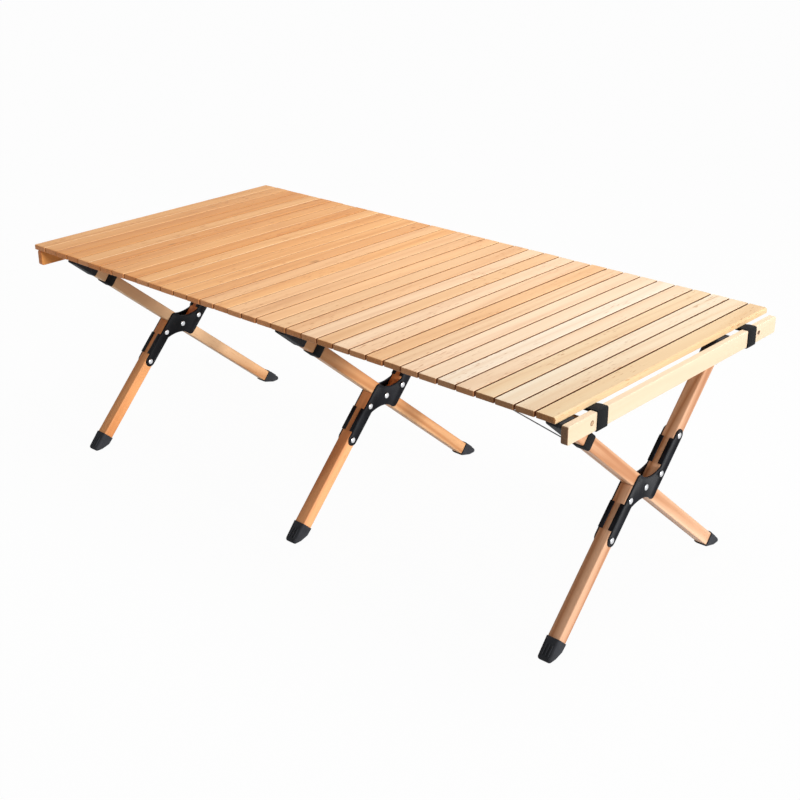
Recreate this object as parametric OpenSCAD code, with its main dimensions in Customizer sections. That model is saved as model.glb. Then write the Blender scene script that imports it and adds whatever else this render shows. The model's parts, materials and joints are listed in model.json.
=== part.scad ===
// Roll top camp table: a slatted top that rolls up, two end rails, two webbing
// straps and three folding X frames. Lengths in millimetres, +X along the top,
// -Y the near side, +Z up, origin on the ground under the middle of the box.

/* [Top] */
// Number of slats across the length of the top
slat_count = 35; // [26:1:35]
// Slats at the right end that stay flat when the top is rolled
base_count = 21; // [6:1:25]
// Width of one slat
slat_w = 32.9; // [26:0.1:40]
// Length of one slat, which is the width of the table
slat_l = 600; // [520:5:680]
// Thickness of one slat
slat_t = 10; // [8:0.5:14]
// Gap between the first two slats at the left end
gap_left = 0.8; // [0.6:0.1:1.6]
// Gap between the last two slats at the right end
gap_right = 2.4; // [1.2:0.1:3.2]
// Bevel along the upper long edges of a slat
slat_bevel = 0.8; // [0.4:0.1:1.5]
// Bevel across the upper ends of a slat
slat_end_bevel = 2; // [0.5:0.5:4]
// Bevel along the outer edge of the last slat
edge_bevel = 4; // [2:0.5:6]
// Height of the top of the slats above the ground
table_h = 400; // [370:5:450]

/* [Rails] */
// Thickness of an end rail along the table
rail_t = 12; // [9:0.5:16]
// Height of an end rail
rail_h = 28.5; // [24:0.5:36]
// Length of an end rail
rail_l = 590; // [510:5:660]
// Distance of the peg and of the free hole from the middle of the rail
rail_hole_y = 237; // [232:1:250]
// Diameter of the peg that rests on the leg
peg_d = 8.6; // [7:0.2:10]
// Diameter of the free hole at the far end
rail_hole_d = 8.6; // [7:0.2:10]
// Distance of the peg and of the free hole below the rail's top
peg_drop = 13.2; // [11:0.1:16]
// How far the peg stands in from the rail, over the leg
peg_reach = 24; // [18:1:26]
// Rounding of the rail's upper and lower corners at its ends
rail_corner_r = 3; // [1:0.5:5]

/* [Straps] */
// Width of a webbing strap
strap_w = 26; // [20:1:32]
// Thickness of a webbing strap
strap_t = 1.6; // [1:0.1:2.4]
// Distance of a strap's middle from the middle of the table
strap_y = 213; // [195:1:216]
// Clearance between a strap's loop and the rail in it
strap_play = 0.2; // [0.1:0.05:0.4]

/* [Legs] */
// Width of a leg, square to its length in the plane of the X
leg_w = 22; // [19:0.5:24]
// Thickness of a leg along the table
leg_t = 22; // [18:0.5:26]
// Rounding of a leg's long edges
leg_r = 2; // [1:0.5:3]
// Slope of the crossing leg above the ground, in degrees
cross_slope = 39.5; // [38:0.5:42]
// Slope of the split leg above the ground, in degrees
split_slope = 47.3; // [46:0.1:49]
// Sideways step of each half of the split leg from the hub rivet
split_step = 26; // [25:0.5:28]
// Distance of the hub rivet from the middle of the table, towards the near side
hub_y = 55; // [50:1:58]
// Distance of the left frame from the left edge of the top
left_frame_inset = 109.5; // [60:0.5:160]
// Distance of the middle frame from the left edge of the top
middle_frame_inset = 664; // [600:1:720]
// Distance of the right frame from the right edge of the top
right_frame_inset = 7.3; // [4:0.1:20]
// Clearance between the crossing leg and each hub plate
leg_play = 0.3; // [0.1:0.05:0.5]
// Clearance between the crossing leg and the ends of the split leg
stop_play = 0.4; // [0.2:0.1:1]

/* [Caps] */
// Wall of a boot or end cap round the leg
cap_wall = 2; // [1.5:0.25:3]
// Rounding of the corners of a boot or cap
cap_r = 4; // [2.5:0.5:5]
// Length of a boot along the leg, from its rim to the middle of its sole
boot_l = 32; // [28:1:50]
// How much narrower a boot is at its sole than at its rim, on each side
boot_taper = 1.2; // [0:0.1:2]
// Thickness of a boot's sole under the leg
sole_t = 4; // [2:0.5:8]
// Reach of a boot's upright toe ahead of the leg's middle line at the ground
toe_reach = 12; // [9:0.5:14]
// Reach of a boot's level sole behind the leg's middle line at the ground
heel_reach = 5; // [2:0.5:12]
// Slope of a boot's heel above the ground, in degrees
heel_slope = 16; // [5:1:25]
// Number of raised ribs on a boot's front
boot_ribs = 3; // [2:1:4]
// Width of one rib on a boot's front
rib_w = 2.6; // [1.5:0.1:3.5]
// Height of one rib on a boot's front
rib_h = 0.8; // [0.4:0.1:1.2]
// Distance of the ribs below a boot's rim
rib_drop = 11; // [6:0.5:20]
// Length of an upper end cap along the leg, to the level of its seat
top_cap_l = 44; // [36:1:50]
// How far an upper end cap's tip runs on past its seat
cap_tip = 8; // [4:0.5:10]
// Gap between the upper end caps and the slats
seat_play = 0.3; // [0.2:0.05:0.6]
// Width of the keeper band round the crossing leg
keeper_w = 20; // [14:1:26]
// Thickness of the keeper band
keeper_t = 1.5; // [1:0.1:2]
// Distance of the keeper band below the upper end cap
keeper_drop = 27; // [12:1:40]

/* [Hub plates] */
// Thickness of a hub plate
plate_t = 2; // [1.5:0.1:3]
// Distance of the inner rivets from the hub, along the split leg
inner_rivet_s = 34; // [30:0.5:38]
// Distance of the outer rivets from the hub, along the split leg
outer_rivet_s = 101; // [95:0.5:108]
// Width of a plate's arms
plate_arm_w = 21; // [17:0.5:23]
// Reach of a plate's shoulder past the hub, along the split leg
shoulder_s = 9; // [6:0.5:12]
// Rounding of a plate's shoulder
shoulder_r = 9; // [6:0.5:10]
// Length of a lip folded over the split leg
lip_l = 45; // [35:1:50]
// Width of a lip, from the outside of the plate
lip_w = 8; // [6:0.5:9]
// Thickness of a lip
lip_t = 1.5; // [1:0.1:2]
// Diameter of the hub rivet
hub_rivet_d = 8; // [6:0.5:9]
// Diameter of the rivets that hold the split leg
rivet_d = 6; // [5:0.5:7]
// Radial running clearance of the crossing leg on the hub rivet
hub_play = 0.05; // [0.02:0.01:0.09]
// Diameter of a rivet's head
rivet_head_d = 11; // [9:0.5:13]
// Height of a rivet's domed head
rivet_head_h = 1.6; // [1:0.1:2]

/* [Cord] */
// Diameter of the thin cord under the near right corner
cord_d = 1.8; // [1.2:0.1:2.4]
// Distance of the cord from the near edge of the top
cord_inset = 15; // [12:1:18]
// Drop of the cord's right end below the slats
cord_drop = 22; // [16:1:24]
// Length of the cord along the table
cord_run = 112; // [90:1:130]

/* [Hidden] */
$fn = 48;
rolling_count = slat_count - base_count;
RAILS = ["left_rail", "right_rail", "rail_peg", "near_strap", "far_strap", "corner_cord"];
SLATS = [for (i = [1:rolling_count]) str("slat_", i)];
FRAMES = ["left", "middle", "right"];
PIECES = ["cross_leg", "cross_leg_caps", "lower_leg", "upper_leg", "split_leg_caps", "hub_plates", "rivets"];
KEEPERS = [for (f = FRAMES) str(f, "_keeper_band")];
LEGS = [for (f = FRAMES) for (p = PIECES) str(f, "_", p)];

wood = [0.84, 0.63, 0.42];
pale_wood = [0.94, 0.80, 0.60];
rubber = [0.10, 0.10, 0.11];
steel = [0.12, 0.12, 0.13];
bright = [0.80, 0.80, 0.82];
webbing = [0.07, 0.07, 0.08];
grey = [0.55, 0.56, 0.58];

// the gaps widen evenly from the left end to the right end
function gap(i) = gap_left + (gap_right - gap_left) * (i - 1) / (slat_count - 2);
function gap_sum(i) = (i - 1) * (gap_left + gap(max(i - 1, 1))) / 2;
mat_l = slat_count * slat_w + gap_sum(slat_count);
cap_half = leg_t / 2 + cap_wall;
rail_clear = 1;
loop_t = strap_t + strap_play;
rail_x = cap_half + rail_clear - right_frame_inset;
end_reach = rail_x + rail_t + loop_t;
mat_left = -(mat_l + end_reach) / 2;
mat_right = mat_left + mat_l;
under_z = table_h - slat_t;
slat_x = [for (i = [1:slat_count]) mat_left + (i - 1) * slat_w + gap_sum(i)];
frame_x = [
  mat_left + left_frame_inset,
  mat_left + middle_frame_inset,
  mat_right - right_frame_inset
];
right_rail_x = mat_right + rail_x;
left_rail_x = mat_left + loop_t;
left_rail_top = under_z - loop_t;

// the peg rests on the end cap of the right crossing leg, which sets the hub's height
cap_in = leg_w / 2 + cap_wall;
peg_seat = (cap_in + peg_d / 2 + seat_play) / cos(cross_slope);
peg_z = under_z - peg_drop;
hub_z = peg_z - peg_seat - (rail_hole_y - hub_y) * tan(cross_slope);

// reach of each leg from the hub to the plane of its ends
seat_z = under_z - seat_play;
cross_up = (seat_z - hub_z) / sin(cross_slope);
cross_down = hub_z / sin(cross_slope);
half_rise = split_step * cos(split_slope);
split_up = (seat_z - hub_z + half_rise) / sin(split_slope);
split_down = (hub_z + half_rise) / sin(split_slope);
lean = 90 - cross_slope - split_slope;
split_end = (leg_w / 2 + (split_step + leg_w / 2) * sin(abs(lean))) / cos(lean) + stop_play;
cross_foot_y = -hub_y + cross_down * cos(cross_slope);
split_foot_y = -hub_y - split_down * cos(split_slope) - split_step * sin(split_slope);
plate_x = leg_t / 2;

// a rounded square standing on its middle
module round_square(a, b, r) {
  square([a - 2 * r, b], center = true);
  square([a, b - 2 * r], center = true);
  for (i = [-1, 1])
    for (j = [-1, 1])
      translate([i * (a / 2 - r), j * (b / 2 - r)])
        circle(r);
}

// places a shape whose own X runs along a leg and whose own Z runs along the table
module along_leg(f, angle) {
  translate([frame_x[f], -hub_y, hub_z])
    rotate([90, 0, 90])
      rotate(angle)
        children();
}

// a straight length of leg from one distance to another, stepped sideways from the hub
module leg_bar(from, to, step, t) {
  translate([from, step, 0])
    rotate([0, 90, 0])
      linear_extrude(to - from)
        round_square(t, leg_w, leg_r);
}

// everything between the ground and the seat under the slats
module standing_room(low, high) {
  translate([-mat_l, -slat_l, low])
    cube([2 * mat_l, 2 * slat_l, high - low]);
}

// keeps the part of a slanted shape that lies between two heights
module between(low, high) {
  intersection() {
    children();
    standing_room(low, high);
  }
}

// keeps what lies above a sole with an upright toe and a sloping heel, at a given height
module above_sole(f, foot_y, heel_side, low, toe) {
  run = 2 * slat_l;
  intersection() {
    children();
    translate([frame_x[f] - leg_t, foot_y, low])
      rotate([90, 0, 90])
        linear_extrude(2 * leg_t)
          polygon([
            [-heel_side * toe, 0],
            [heel_side * heel_reach, 0],
            [heel_side * (heel_reach + run), run * tan(heel_slope)],
            [heel_side * (heel_reach + run), 3 * table_h],
            [-heel_side * toe, 3 * table_h]
          ]);
  }
}

// a tapered boot round the foot of a leg, before its sole is cut
module boot_form(from, to, step) {
  rim = leg_t + 2 * cap_wall;
  hull() {
    translate([from, step, 0])
      rotate([0, 90, 0])
        linear_extrude(1)
          round_square(rim, leg_w + 2 * cap_wall, cap_r);
    translate([to, step, 0])
      rotate([0, 90, 0])
        linear_extrude(1)
          round_square(rim - 2 * boot_taper, leg_w + 2 * (cap_wall - boot_taper), cap_r);
  }
}

// the raised ribs down the front of a boot
module boot_rib_row(from, to, step) {
  pitch = leg_t / (boot_ribs + 1);
  front = leg_w / 2 + cap_wall - boot_taper;
  for (i = [1:boot_ribs])
    translate([from, step + front - 1, i * pitch - leg_t / 2 - rib_w / 2])
      cube([to - from, 1 + rib_h + boot_taper, rib_w]);
}

// one slat, bevelled along its upper edges and across its upper ends
module slat(i) {
  last = i == slat_count;
  right_bevel = last ? edge_bevel : slat_bevel;
  intersection() {
    translate([slat_x[i - 1], slat_l / 2, under_z])
      rotate([90, 0, 0])
        linear_extrude(slat_l)
          polygon([
            [0, 0],
            [slat_w, 0],
            [slat_w, slat_t - right_bevel],
            [slat_w - right_bevel, slat_t],
            [slat_bevel, slat_t],
            [0, slat_t - slat_bevel]
          ]);
    translate([slat_x[i - 1] - 1, 0, under_z])
      rotate([90, 0, 90])
        linear_extrude(slat_w + 2)
          polygon([
            [-slat_l / 2, 0],
            [slat_l / 2, 0],
            [slat_l / 2, slat_t - slat_end_bevel],
            [slat_l / 2 - slat_end_bevel, slat_t],
            [-slat_l / 2 + slat_end_bevel, slat_t],
            [-slat_l / 2, slat_t - slat_end_bevel]
          ]);
  }
}

module rolling_slat(i) {
  color(wood) slat(i);
}

module base_slats() {
  color(pale_wood)
    for (i = [rolling_count + 1:slat_count])
      slat(i);
}

// a rail standing on edge, with its four long corners rounded at the ends
module rail_bar() {
  translate([0, 0, -rail_h])
    rotate([90, 0, 90])
      linear_extrude(rail_t)
        translate([0, rail_h / 2])
          round_square(rail_l, rail_h, rail_corner_r);
}

module rail_bore(y, d) {
  translate([-1, y, 0])
    rotate([0, 90, 0])
      cylinder(d = d, h = rail_t + 2);
}

module left_rail() {
  color(wood)
    translate([left_rail_x, 0, left_rail_top])
      rail_bar();
}

module right_rail() {
  color(pale_wood)
    translate([right_rail_x, 0, under_z])
      difference() {
        rail_bar();
        translate([0, 0, peg_z - under_z]) {
          rail_bore(-rail_hole_y, peg_d);
          rail_bore(rail_hole_y, rail_hole_d);
        }
      }
}

// a wooden peg through the rail, resting over the leg
module rail_peg() {
  color(wood)
    translate([right_rail_x - peg_reach, -rail_hole_y, peg_z])
      rotate([0, 90, 0])
        cylinder(d = peg_d, h = peg_reach + rail_t);
}

// a closed loop of webbing round a rail, whose upper run is at a given height
module strap_loop(x, top) {
  translate([x - loop_t, 0, top - rail_h - loop_t])
    difference() {
      cube([rail_t + 2 * loop_t, strap_w, rail_h + 2 * loop_t]);
      translate([strap_t, -1, strap_t])
        cube([rail_t + 2 * strap_play, strap_w + 2, rail_h + 2 * strap_play]);
    }
}

// a strap under the slats with a loop round each end rail
module strap(y) {
  run_from = left_rail_x + rail_t + strap_play;
  run_to = right_rail_x - strap_play;
  translate([0, y - strap_w / 2, 0]) {
    strap_loop(left_rail_x, left_rail_top);
    strap_loop(right_rail_x, under_z);
    translate([run_from, 0, under_z - strap_t])
      cube([run_to - run_from, strap_w, strap_t]);
  }
}

module near_strap() {
  color(webbing) strap(-strap_y);
}

module far_strap() {
  color(webbing) strap(strap_y);
}

// a thin taut cord from the rail's inner face to the underside of the slats
module corner_cord() {
  slope = atan2(cord_drop, cord_run);
  high = under_z - cord_d;
  color(grey)
    translate([right_rail_x, -slat_l / 2 + cord_inset, high - cord_drop])
      rotate([0, -90 + slope, 0])
        cylinder(d = cord_d, h = norm([cord_drop, cord_run]), $fn = 16);
}

// an upper end cap round a leg, from one distance to another
module top_cap_form(from, to, step) {
  translate([from, step, 0])
    rotate([0, 90, 0])
      linear_extrude(to - from)
        round_square(leg_t + 2 * cap_wall, leg_w + 2 * cap_wall, cap_r);
}

// the crossing leg's stick, cut at its foot and under its seat
module cross_stick(f) {
  above_sole(f, cross_foot_y, -1, sole_t, toe_reach - cap_wall)
    between(0, seat_z - cap_wall)
      along_leg(f, -cross_slope)
        leg_bar(-cross_up - cap_tip + cap_wall, cross_down + leg_w, 0, leg_t - 2 * leg_play);
}

// the leg that crosses in one piece, with the hub bore through it
module cross_leg(f) {
  color(wood)
    difference() {
      cross_stick(f);
      along_leg(f, -cross_slope)
        translate([0, 0, -leg_t])
          cylinder(d = hub_rivet_d + 2 * hub_play, h = 2 * leg_t);
    }
}

// the boot and the upper end cap of the crossing leg
module cross_leg_caps(f) {
  rim = cross_down - boot_l;
  color(rubber)
    difference() {
      union() {
        above_sole(f, cross_foot_y, -1, 0, toe_reach)
          along_leg(f, -cross_slope) {
            boot_form(rim, cross_down + leg_w, 0);
            boot_rib_row(rim + rib_drop, cross_down + leg_w, 0);
          }
        between(0, seat_z)
          along_leg(f, -cross_slope)
            top_cap_form(-cross_up - cap_tip, -cross_up + top_cap_l, 0);
      }
      cross_stick(f);
    }
}

// the split leg's lower stick, cut at its foot
module lower_stick(f) {
  above_sole(f, split_foot_y, 1, sole_t, toe_reach - cap_wall)
    along_leg(f, split_slope)
      leg_bar(-split_down - leg_w, -split_end, split_step, leg_t);
}

// the split leg's upper stick, cut under its seat
module upper_stick(f) {
  between(0, seat_z - cap_wall)
    along_leg(f, split_slope)
      leg_bar(split_end, split_up + cap_tip - cap_wall, -split_step, leg_t);
}

// the half of the split leg that stands on the ground
module lower_leg(f) {
  color(wood)
    difference() {
      lower_stick(f);
      along_leg(f, split_slope) rivet_bores(-1);
    }
}

// the half of the split leg that reaches up to the slats
module upper_leg(f) {
  color(wood)
    difference() {
      upper_stick(f);
      along_leg(f, split_slope) rivet_bores(1);
    }
}

// the bores of one half of the split leg
module rivet_bores(side) {
  for (s = [inner_rivet_s, outer_rivet_s])
    translate([side * s, -side * split_step, -leg_t])
      cylinder(d = rivet_d, h = 2 * leg_t);
}

// the boot and the upper end cap of the split leg
module split_leg_caps(f) {
  rim = split_down - boot_l;
  color(rubber) {
    difference() {
      above_sole(f, split_foot_y, 1, 0, toe_reach)
        along_leg(f, split_slope)
          mirror([1, 0, 0]) {
            boot_form(rim, split_down + leg_w, split_step);
            boot_rib_row(rim + rib_drop, split_down + leg_w, split_step);
          }
      lower_stick(f);
    }
    difference() {
      between(0, seat_z)
        along_leg(f, split_slope)
          top_cap_form(split_up - top_cap_l, split_up + cap_tip, -split_step);
      upper_stick(f);
    }
  }
}

// points on a round corner, and on a soft bend between two points
function on_circle(a) = [cos(a), sin(a)];
function arc(c, r, from, to) = [for (k = [0:10]) c + r * on_circle(from + (to - from) * k / 10)];
function curve(a, b, c, u) = a * pow(1 - u, 2) + b * 2 * u * (1 - u) + c * pow(u, 2);
function bend(a, b, c) = [for (k = [0:8]) curve(a, b, c, k / 8)];
function tab(s, n) = [
  [s - lip_l / 2, n],
  [s - lip_l / 2, n + tab_rise],
  [s + lip_l / 2, n + tab_rise],
  [s + lip_l / 2, n]
];
function turned(points) = [for (p = points) -p];

// a plate's edge from the end of its lower arm, over the shoulder, down to the upper arm
arm_edge = split_step + plate_arm_w / 2;
lip_mid = (inner_rivet_s + outer_rivet_s) / 2;
tab_rise = leg_w / 2 + lip_t - plate_arm_w / 2;
arm_round = arc([-outer_rivet_s, split_step], plate_arm_w / 2, 270, 90);
shoulder = arc([shoulder_s - shoulder_r, arm_edge - shoulder_r], shoulder_r, 90, 0);
slope_down = bend(
  [shoulder_s, arm_edge - shoulder_r - 3],
  [shoulder_s + 2, 2],
  [lip_mid - lip_l / 2 - 4, plate_arm_w / 2 - split_step]
);

// the flat outline of a hub plate, stepped from one half of the leg to the other
module plate_outline() {
  polygon(concat(
    arm_round,
    tab(-lip_mid, arm_edge),
    shoulder,
    slope_down,
    tab(lip_mid, plate_arm_w / 2 - split_step),
    turned(arm_round),
    turned(shoulder),
    turned(slope_down)
  ));
}

// one hub plate with its lips, on the side of the frame given by its sign
module hub_plate(face) {
  inset = 0.3;
  lip_reach = lip_w - plate_t / 2;
  difference() {
    union() {
      translate([0, 0, face > 0 ? plate_x : -plate_x - plate_t])
        linear_extrude(plate_t)
          plate_outline();
      for (side = [-1, 1])
        translate([
          side * lip_mid - lip_l / 2 + inset,
          -side * split_step + leg_w / 2,
          face > 0 ? plate_x + plate_t - lip_w : -plate_x - plate_t / 2
        ])
          cube([lip_l - 2 * inset, lip_t - inset, lip_reach]);
    }
    translate([0, 0, -leg_t])
      cylinder(d = hub_rivet_d, h = 2 * leg_t);
    for (side = [-1, 1])
      rivet_bores(side);
  }
}

module hub_plates(f) {
  color(steel)
    along_leg(f, split_slope)
      for (face = [-1, 1])
        hub_plate(face);
}

// a rivet through both plates, with a domed head at each end
module rivet(d) {
  reach = plate_x + plate_t;
  dome_r = (pow(rivet_head_d / 2, 2) + pow(rivet_head_h, 2)) / (2 * rivet_head_h);
  cylinder(d = d, h = 2 * reach, center = true);
  for (face = [0, 180])
    rotate([face, 0, 0])
      translate([0, 0, reach])
        intersection() {
          translate([0, 0, rivet_head_h - dome_r])
            sphere(dome_r);
          cylinder(d = rivet_head_d, h = rivet_head_h);
        }
}

module rivets(f) {
  color(bright)
    along_leg(f, split_slope) {
      rivet(hub_rivet_d);
      for (side = [-1, 1])
        for (s = [inner_rivet_s, outer_rivet_s])
          translate([side * s, -side * split_step, 0])
            rivet(rivet_d);
    }
}

// a band of webbing round the crossing leg, below its upper end cap
module keeper_band(f) {
  from = -cross_up + top_cap_l + keeper_drop;
  inner = leg_t - 2 * leg_play;
  color(webbing)
    along_leg(f, -cross_slope)
      translate([from, 0, 0])
        rotate([0, 90, 0])
          linear_extrude(keeper_w)
            difference() {
              round_square(inner + 2 * keeper_t, leg_w + 2 * keeper_t, leg_r + keeper_t);
              round_square(inner, leg_w, leg_r);
            }
}

for (i = [1:rolling_count])
  rolling_slat(i);
base_slats();
left_rail();
right_rail();
rail_peg();
near_strap();
far_strap();
corner_cord();
for (f = [0:2]) {
  cross_leg(f);
  cross_leg_caps(f);
  lower_leg(f);
  upper_leg(f);
  split_leg_caps(f);
  hub_plates(f);
  rivets(f);
  keeper_band(f);
}
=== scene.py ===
"""Roll top camp table: slats, webbing, folding frames and their finishes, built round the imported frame."""

from __future__ import annotations

import json
import logging
import math
from dataclasses import dataclass, replace
from enum import Enum
from typing import Sequence

import bmesh
import bpy
import numpy as np
from mathutils import Matrix, Vector


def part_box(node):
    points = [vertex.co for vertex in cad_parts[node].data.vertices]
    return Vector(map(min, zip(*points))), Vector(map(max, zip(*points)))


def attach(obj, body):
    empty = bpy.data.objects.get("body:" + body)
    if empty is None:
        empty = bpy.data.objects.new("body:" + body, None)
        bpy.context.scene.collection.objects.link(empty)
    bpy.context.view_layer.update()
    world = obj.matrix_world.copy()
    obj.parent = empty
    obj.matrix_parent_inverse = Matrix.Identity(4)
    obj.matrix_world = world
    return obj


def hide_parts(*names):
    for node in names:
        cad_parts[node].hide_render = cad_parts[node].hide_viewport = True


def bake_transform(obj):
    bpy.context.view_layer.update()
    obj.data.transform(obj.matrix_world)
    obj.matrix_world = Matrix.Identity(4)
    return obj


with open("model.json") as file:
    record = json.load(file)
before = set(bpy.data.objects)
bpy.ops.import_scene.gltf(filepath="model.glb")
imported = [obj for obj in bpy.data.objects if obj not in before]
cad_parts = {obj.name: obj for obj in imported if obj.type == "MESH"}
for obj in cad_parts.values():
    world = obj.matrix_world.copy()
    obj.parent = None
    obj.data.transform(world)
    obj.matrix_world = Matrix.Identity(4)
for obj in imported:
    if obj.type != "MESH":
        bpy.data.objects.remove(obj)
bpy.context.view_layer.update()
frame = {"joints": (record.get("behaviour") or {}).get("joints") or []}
LOG = logging.getLogger("camp_table")

Socket = bpy.types.NodeSocket
Node = bpy.types.Node
Tree = bpy.types.NodeTree
Mesh = bpy.types.Mesh
Piece = bpy.types.Object
Material = bpy.types.Material
Point = tuple[float, float]
Triple = tuple[float, float, float]
Colour = tuple[float, float, float, float]

FLOAT, VECTOR, COLOUR = "NodeSocketFloat", "NodeSocketVector", "NodeSocketColor"
GEOMETRY, INTEGER, MATERIAL = "NodeSocketGeometry", "NodeSocketInt", "NodeSocketMaterial"
SHADER_TREE, GEOMETRY_TREE = "ShaderNodeTree", "GeometryNodeTree"

LEFT, RIGHT = Vector((-1, 0, 0)), Vector((1, 0, 0))
NEAR, FAR = Vector((0, -1, 0)), Vector((0, 1, 0))
DOWN, UP = Vector((0, 0, -1)), Vector((0, 0, 1))
MERGE_DISTANCE = 1e-6
STRAP_EDGE = 0.32  # share of a strap's thickness that its edges are cut by
CURVE_REACH = 0.49  # most of a side that the curve at a corner may take


class Side(Enum):
    """The three X frames, by their place along the table."""

    LEFT = "left"
    MIDDLE = "middle"
    RIGHT = "right"


class Lay(Enum):
    """The way a piece's grain runs, as a turn about X that brings it onto Y."""

    ACROSS = 0.0
    CROSS_LEG = 39.5
    SPLIT_LEG = -47.3


class Draw(Enum):
    """The random draws for each slat, with the seed of each."""

    LENGTH = 3
    SLIDE = 5
    SHADE = 7
    AGE = 11
    TILT = 13


class Graph:
    """Adds and links the nodes of one tree."""

    def __init__(self, tree: Tree) -> None:
        """Keeps the tree."""
        self.tree = tree

    def add(self, kind: str, **settings: object) -> Node:
        """Adds a node.

        Args:
            kind: The node's type name.
            settings: Properties of the node.

        Returns:
            The new node.
        """
        node = self.tree.nodes.new(kind)
        for key, value in settings.items():
            setattr(node, key, value)
        return node

    def feed(self, node: Node, values: dict) -> Node:
        """Links sockets to a node's inputs, or sets their plain values.

        Args:
            node: The node.
            values: Values or sockets by input name or number.

        Returns:
            The node.
        """
        for key, value in values.items():
            if isinstance(value, Socket):
                self.tree.links.new(value, node.inputs[key])
            else:
                node.inputs[key].default_value = value
        return node

    def call(self, kind: str, inputs: dict, out: int | str = 0, **settings: object) -> Socket:
        """Adds a node, feeds it and picks one output.

        Args:
            kind: The node's type name.
            inputs: Values or sockets by input name or number.
            out: The output wanted.
            settings: Properties of the node.

        Returns:
            The output socket.
        """
        return self.feed(self.add(kind, **settings), inputs).outputs[out]

    def group(self, tree: Tree, values: dict) -> Node:
        """Places a node group and feeds it."""
        kind = "GeometryNodeGroup" if self.tree.bl_idname == GEOMETRY_TREE else "ShaderNodeGroup"
        return self.feed(self.add(kind, node_tree=tree), values)

    def math(self, operation: str, *values: object) -> Socket:
        """A number worked out from one to three others."""
        return self.call("ShaderNodeMath", dict(enumerate(values)), operation=operation)

    def times(self, a: object, b: object) -> Socket:
        """One number times another."""
        return self.math("MULTIPLY", a, b)

    def minus(self, a: object, b: object) -> Socket:
        """One number less another."""
        return self.math("SUBTRACT", a, b)

    def times_plus(self, a: object, b: object, c: object) -> Socket:
        """One number times another, plus a third."""
        return self.math("MULTIPLY_ADD", a, b, c)

    def vector(self, operation: str, *values: object) -> Socket:
        """A vector worked out from one to three others."""
        return self.call("ShaderNodeVectorMath", dict(enumerate(values)), operation=operation)

    def scaled(self, vector: object, factor: object) -> Socket:
        """A vector times a number."""
        return self.call("ShaderNodeVectorMath", {0: vector, "Scale": factor}, operation="SCALE")

    def xyz(self, x: object, y: object, z: object) -> Socket:
        """A vector from three numbers."""
        return self.call("ShaderNodeCombineXYZ", {0: x, 1: y, 2: z})

    def split(self, vector: Socket) -> Sequence[Socket]:
        """The three numbers of a vector."""
        return self.feed(self.add("ShaderNodeSeparateXYZ"), {0: vector}).outputs

    def mix(self, factor: object, a: object, b: object, blend: str = "MIX") -> Socket:
        """One colour laid over another."""
        inputs = {0: factor, 6: a, 7: b}
        return self.call("ShaderNodeMix", inputs, out=2, data_type="RGBA", blend_type=blend)

    def noise(self, vector: Socket, cells: Triple, detail: float, warp: float = 0.0) -> Socket:
        """Noise stretched on each axis.

        Args:
            vector: The place.
            cells: Cells per metre on each axis.
            detail: Octaves.
            warp: Distortion.

        Returns:
            A value from 0 to 1.
        """
        place = self.vector("MULTIPLY", vector, cells)
        inputs = {"Vector": place, "Scale": 1.0, "Detail": detail, "Distortion": warp}
        return self.call("ShaderNodeTexNoise", inputs)

    def bump(self, height: Socket, depth: float, strength: float) -> Socket:
        """A normal from a height."""
        return self.call("ShaderNodeBump", {"Height": height, "Distance": depth, "Strength": strength})

    def band(
        self, value: Socket, low: object, high: object, to_low: float = 0.0, to_high: float = 1.0
    ) -> Socket:
        """A value stretched from one range to another and held there."""
        return self.call("ShaderNodeMapRange", {0: value, 1: low, 2: high, 3: to_low, 4: to_high})

    def attribute(self, label: str) -> Socket:
        """A number that the mesh carries."""
        return self.call("ShaderNodeAttribute", {}, out="Fac", attribute_name=label)

    def store(self, geometry: Socket, label: str, value: Socket) -> Socket:
        """The geometry with a number kept on each of its points."""
        inputs = {"Geometry": geometry, "Name": label, "Value": value}
        return self.call("GeometryNodeStoreNamedAttribute", inputs, data_type="FLOAT", domain="POINT")

    def join(self, parts: Sequence[Socket]) -> Socket:
        """Several geometries as one.

        Args:
            parts: The geometries.

        Returns:
            The whole.
        """
        node = self.add("GeometryNodeJoinGeometry")
        for part in parts:
            self.tree.links.new(part, node.inputs[0])
        return node.outputs[0]

    def real(self, instances: Socket, material: Socket) -> Socket:
        """Instances made real, with their material."""
        solid = self.call("GeometryNodeRealizeInstances", {"Geometry": instances})
        return self.call("GeometryNodeSetMaterial", {"Geometry": solid, "Material": material})


def new_group(name: str, kind: str, inputs: dict, outputs: dict) -> tuple[Graph, dict, Node]:
    """Starts a node group with named sockets.

    Args:
        name: The group's name.
        kind: SHADER_TREE or GEOMETRY_TREE.
        inputs: Socket type and first value by name.
        outputs: Socket type by name.

    Returns:
        The graph, its input sockets by name, and its output node.
    """
    tree = bpy.data.node_groups.new(name, kind)
    for label, (socket_type, value) in inputs.items():
        socket = tree.interface.new_socket(label, in_out="INPUT", socket_type=socket_type)
        if value is not None:
            socket.default_value = value
    for label, socket_type in outputs.items():
        tree.interface.new_socket(label, in_out="OUTPUT", socket_type=socket_type)
    graph = Graph(tree)
    source = graph.add("NodeGroupInput")
    sink = graph.add("NodeGroupOutput")
    return graph, {label: source.outputs[label] for label in inputs}, sink


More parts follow.
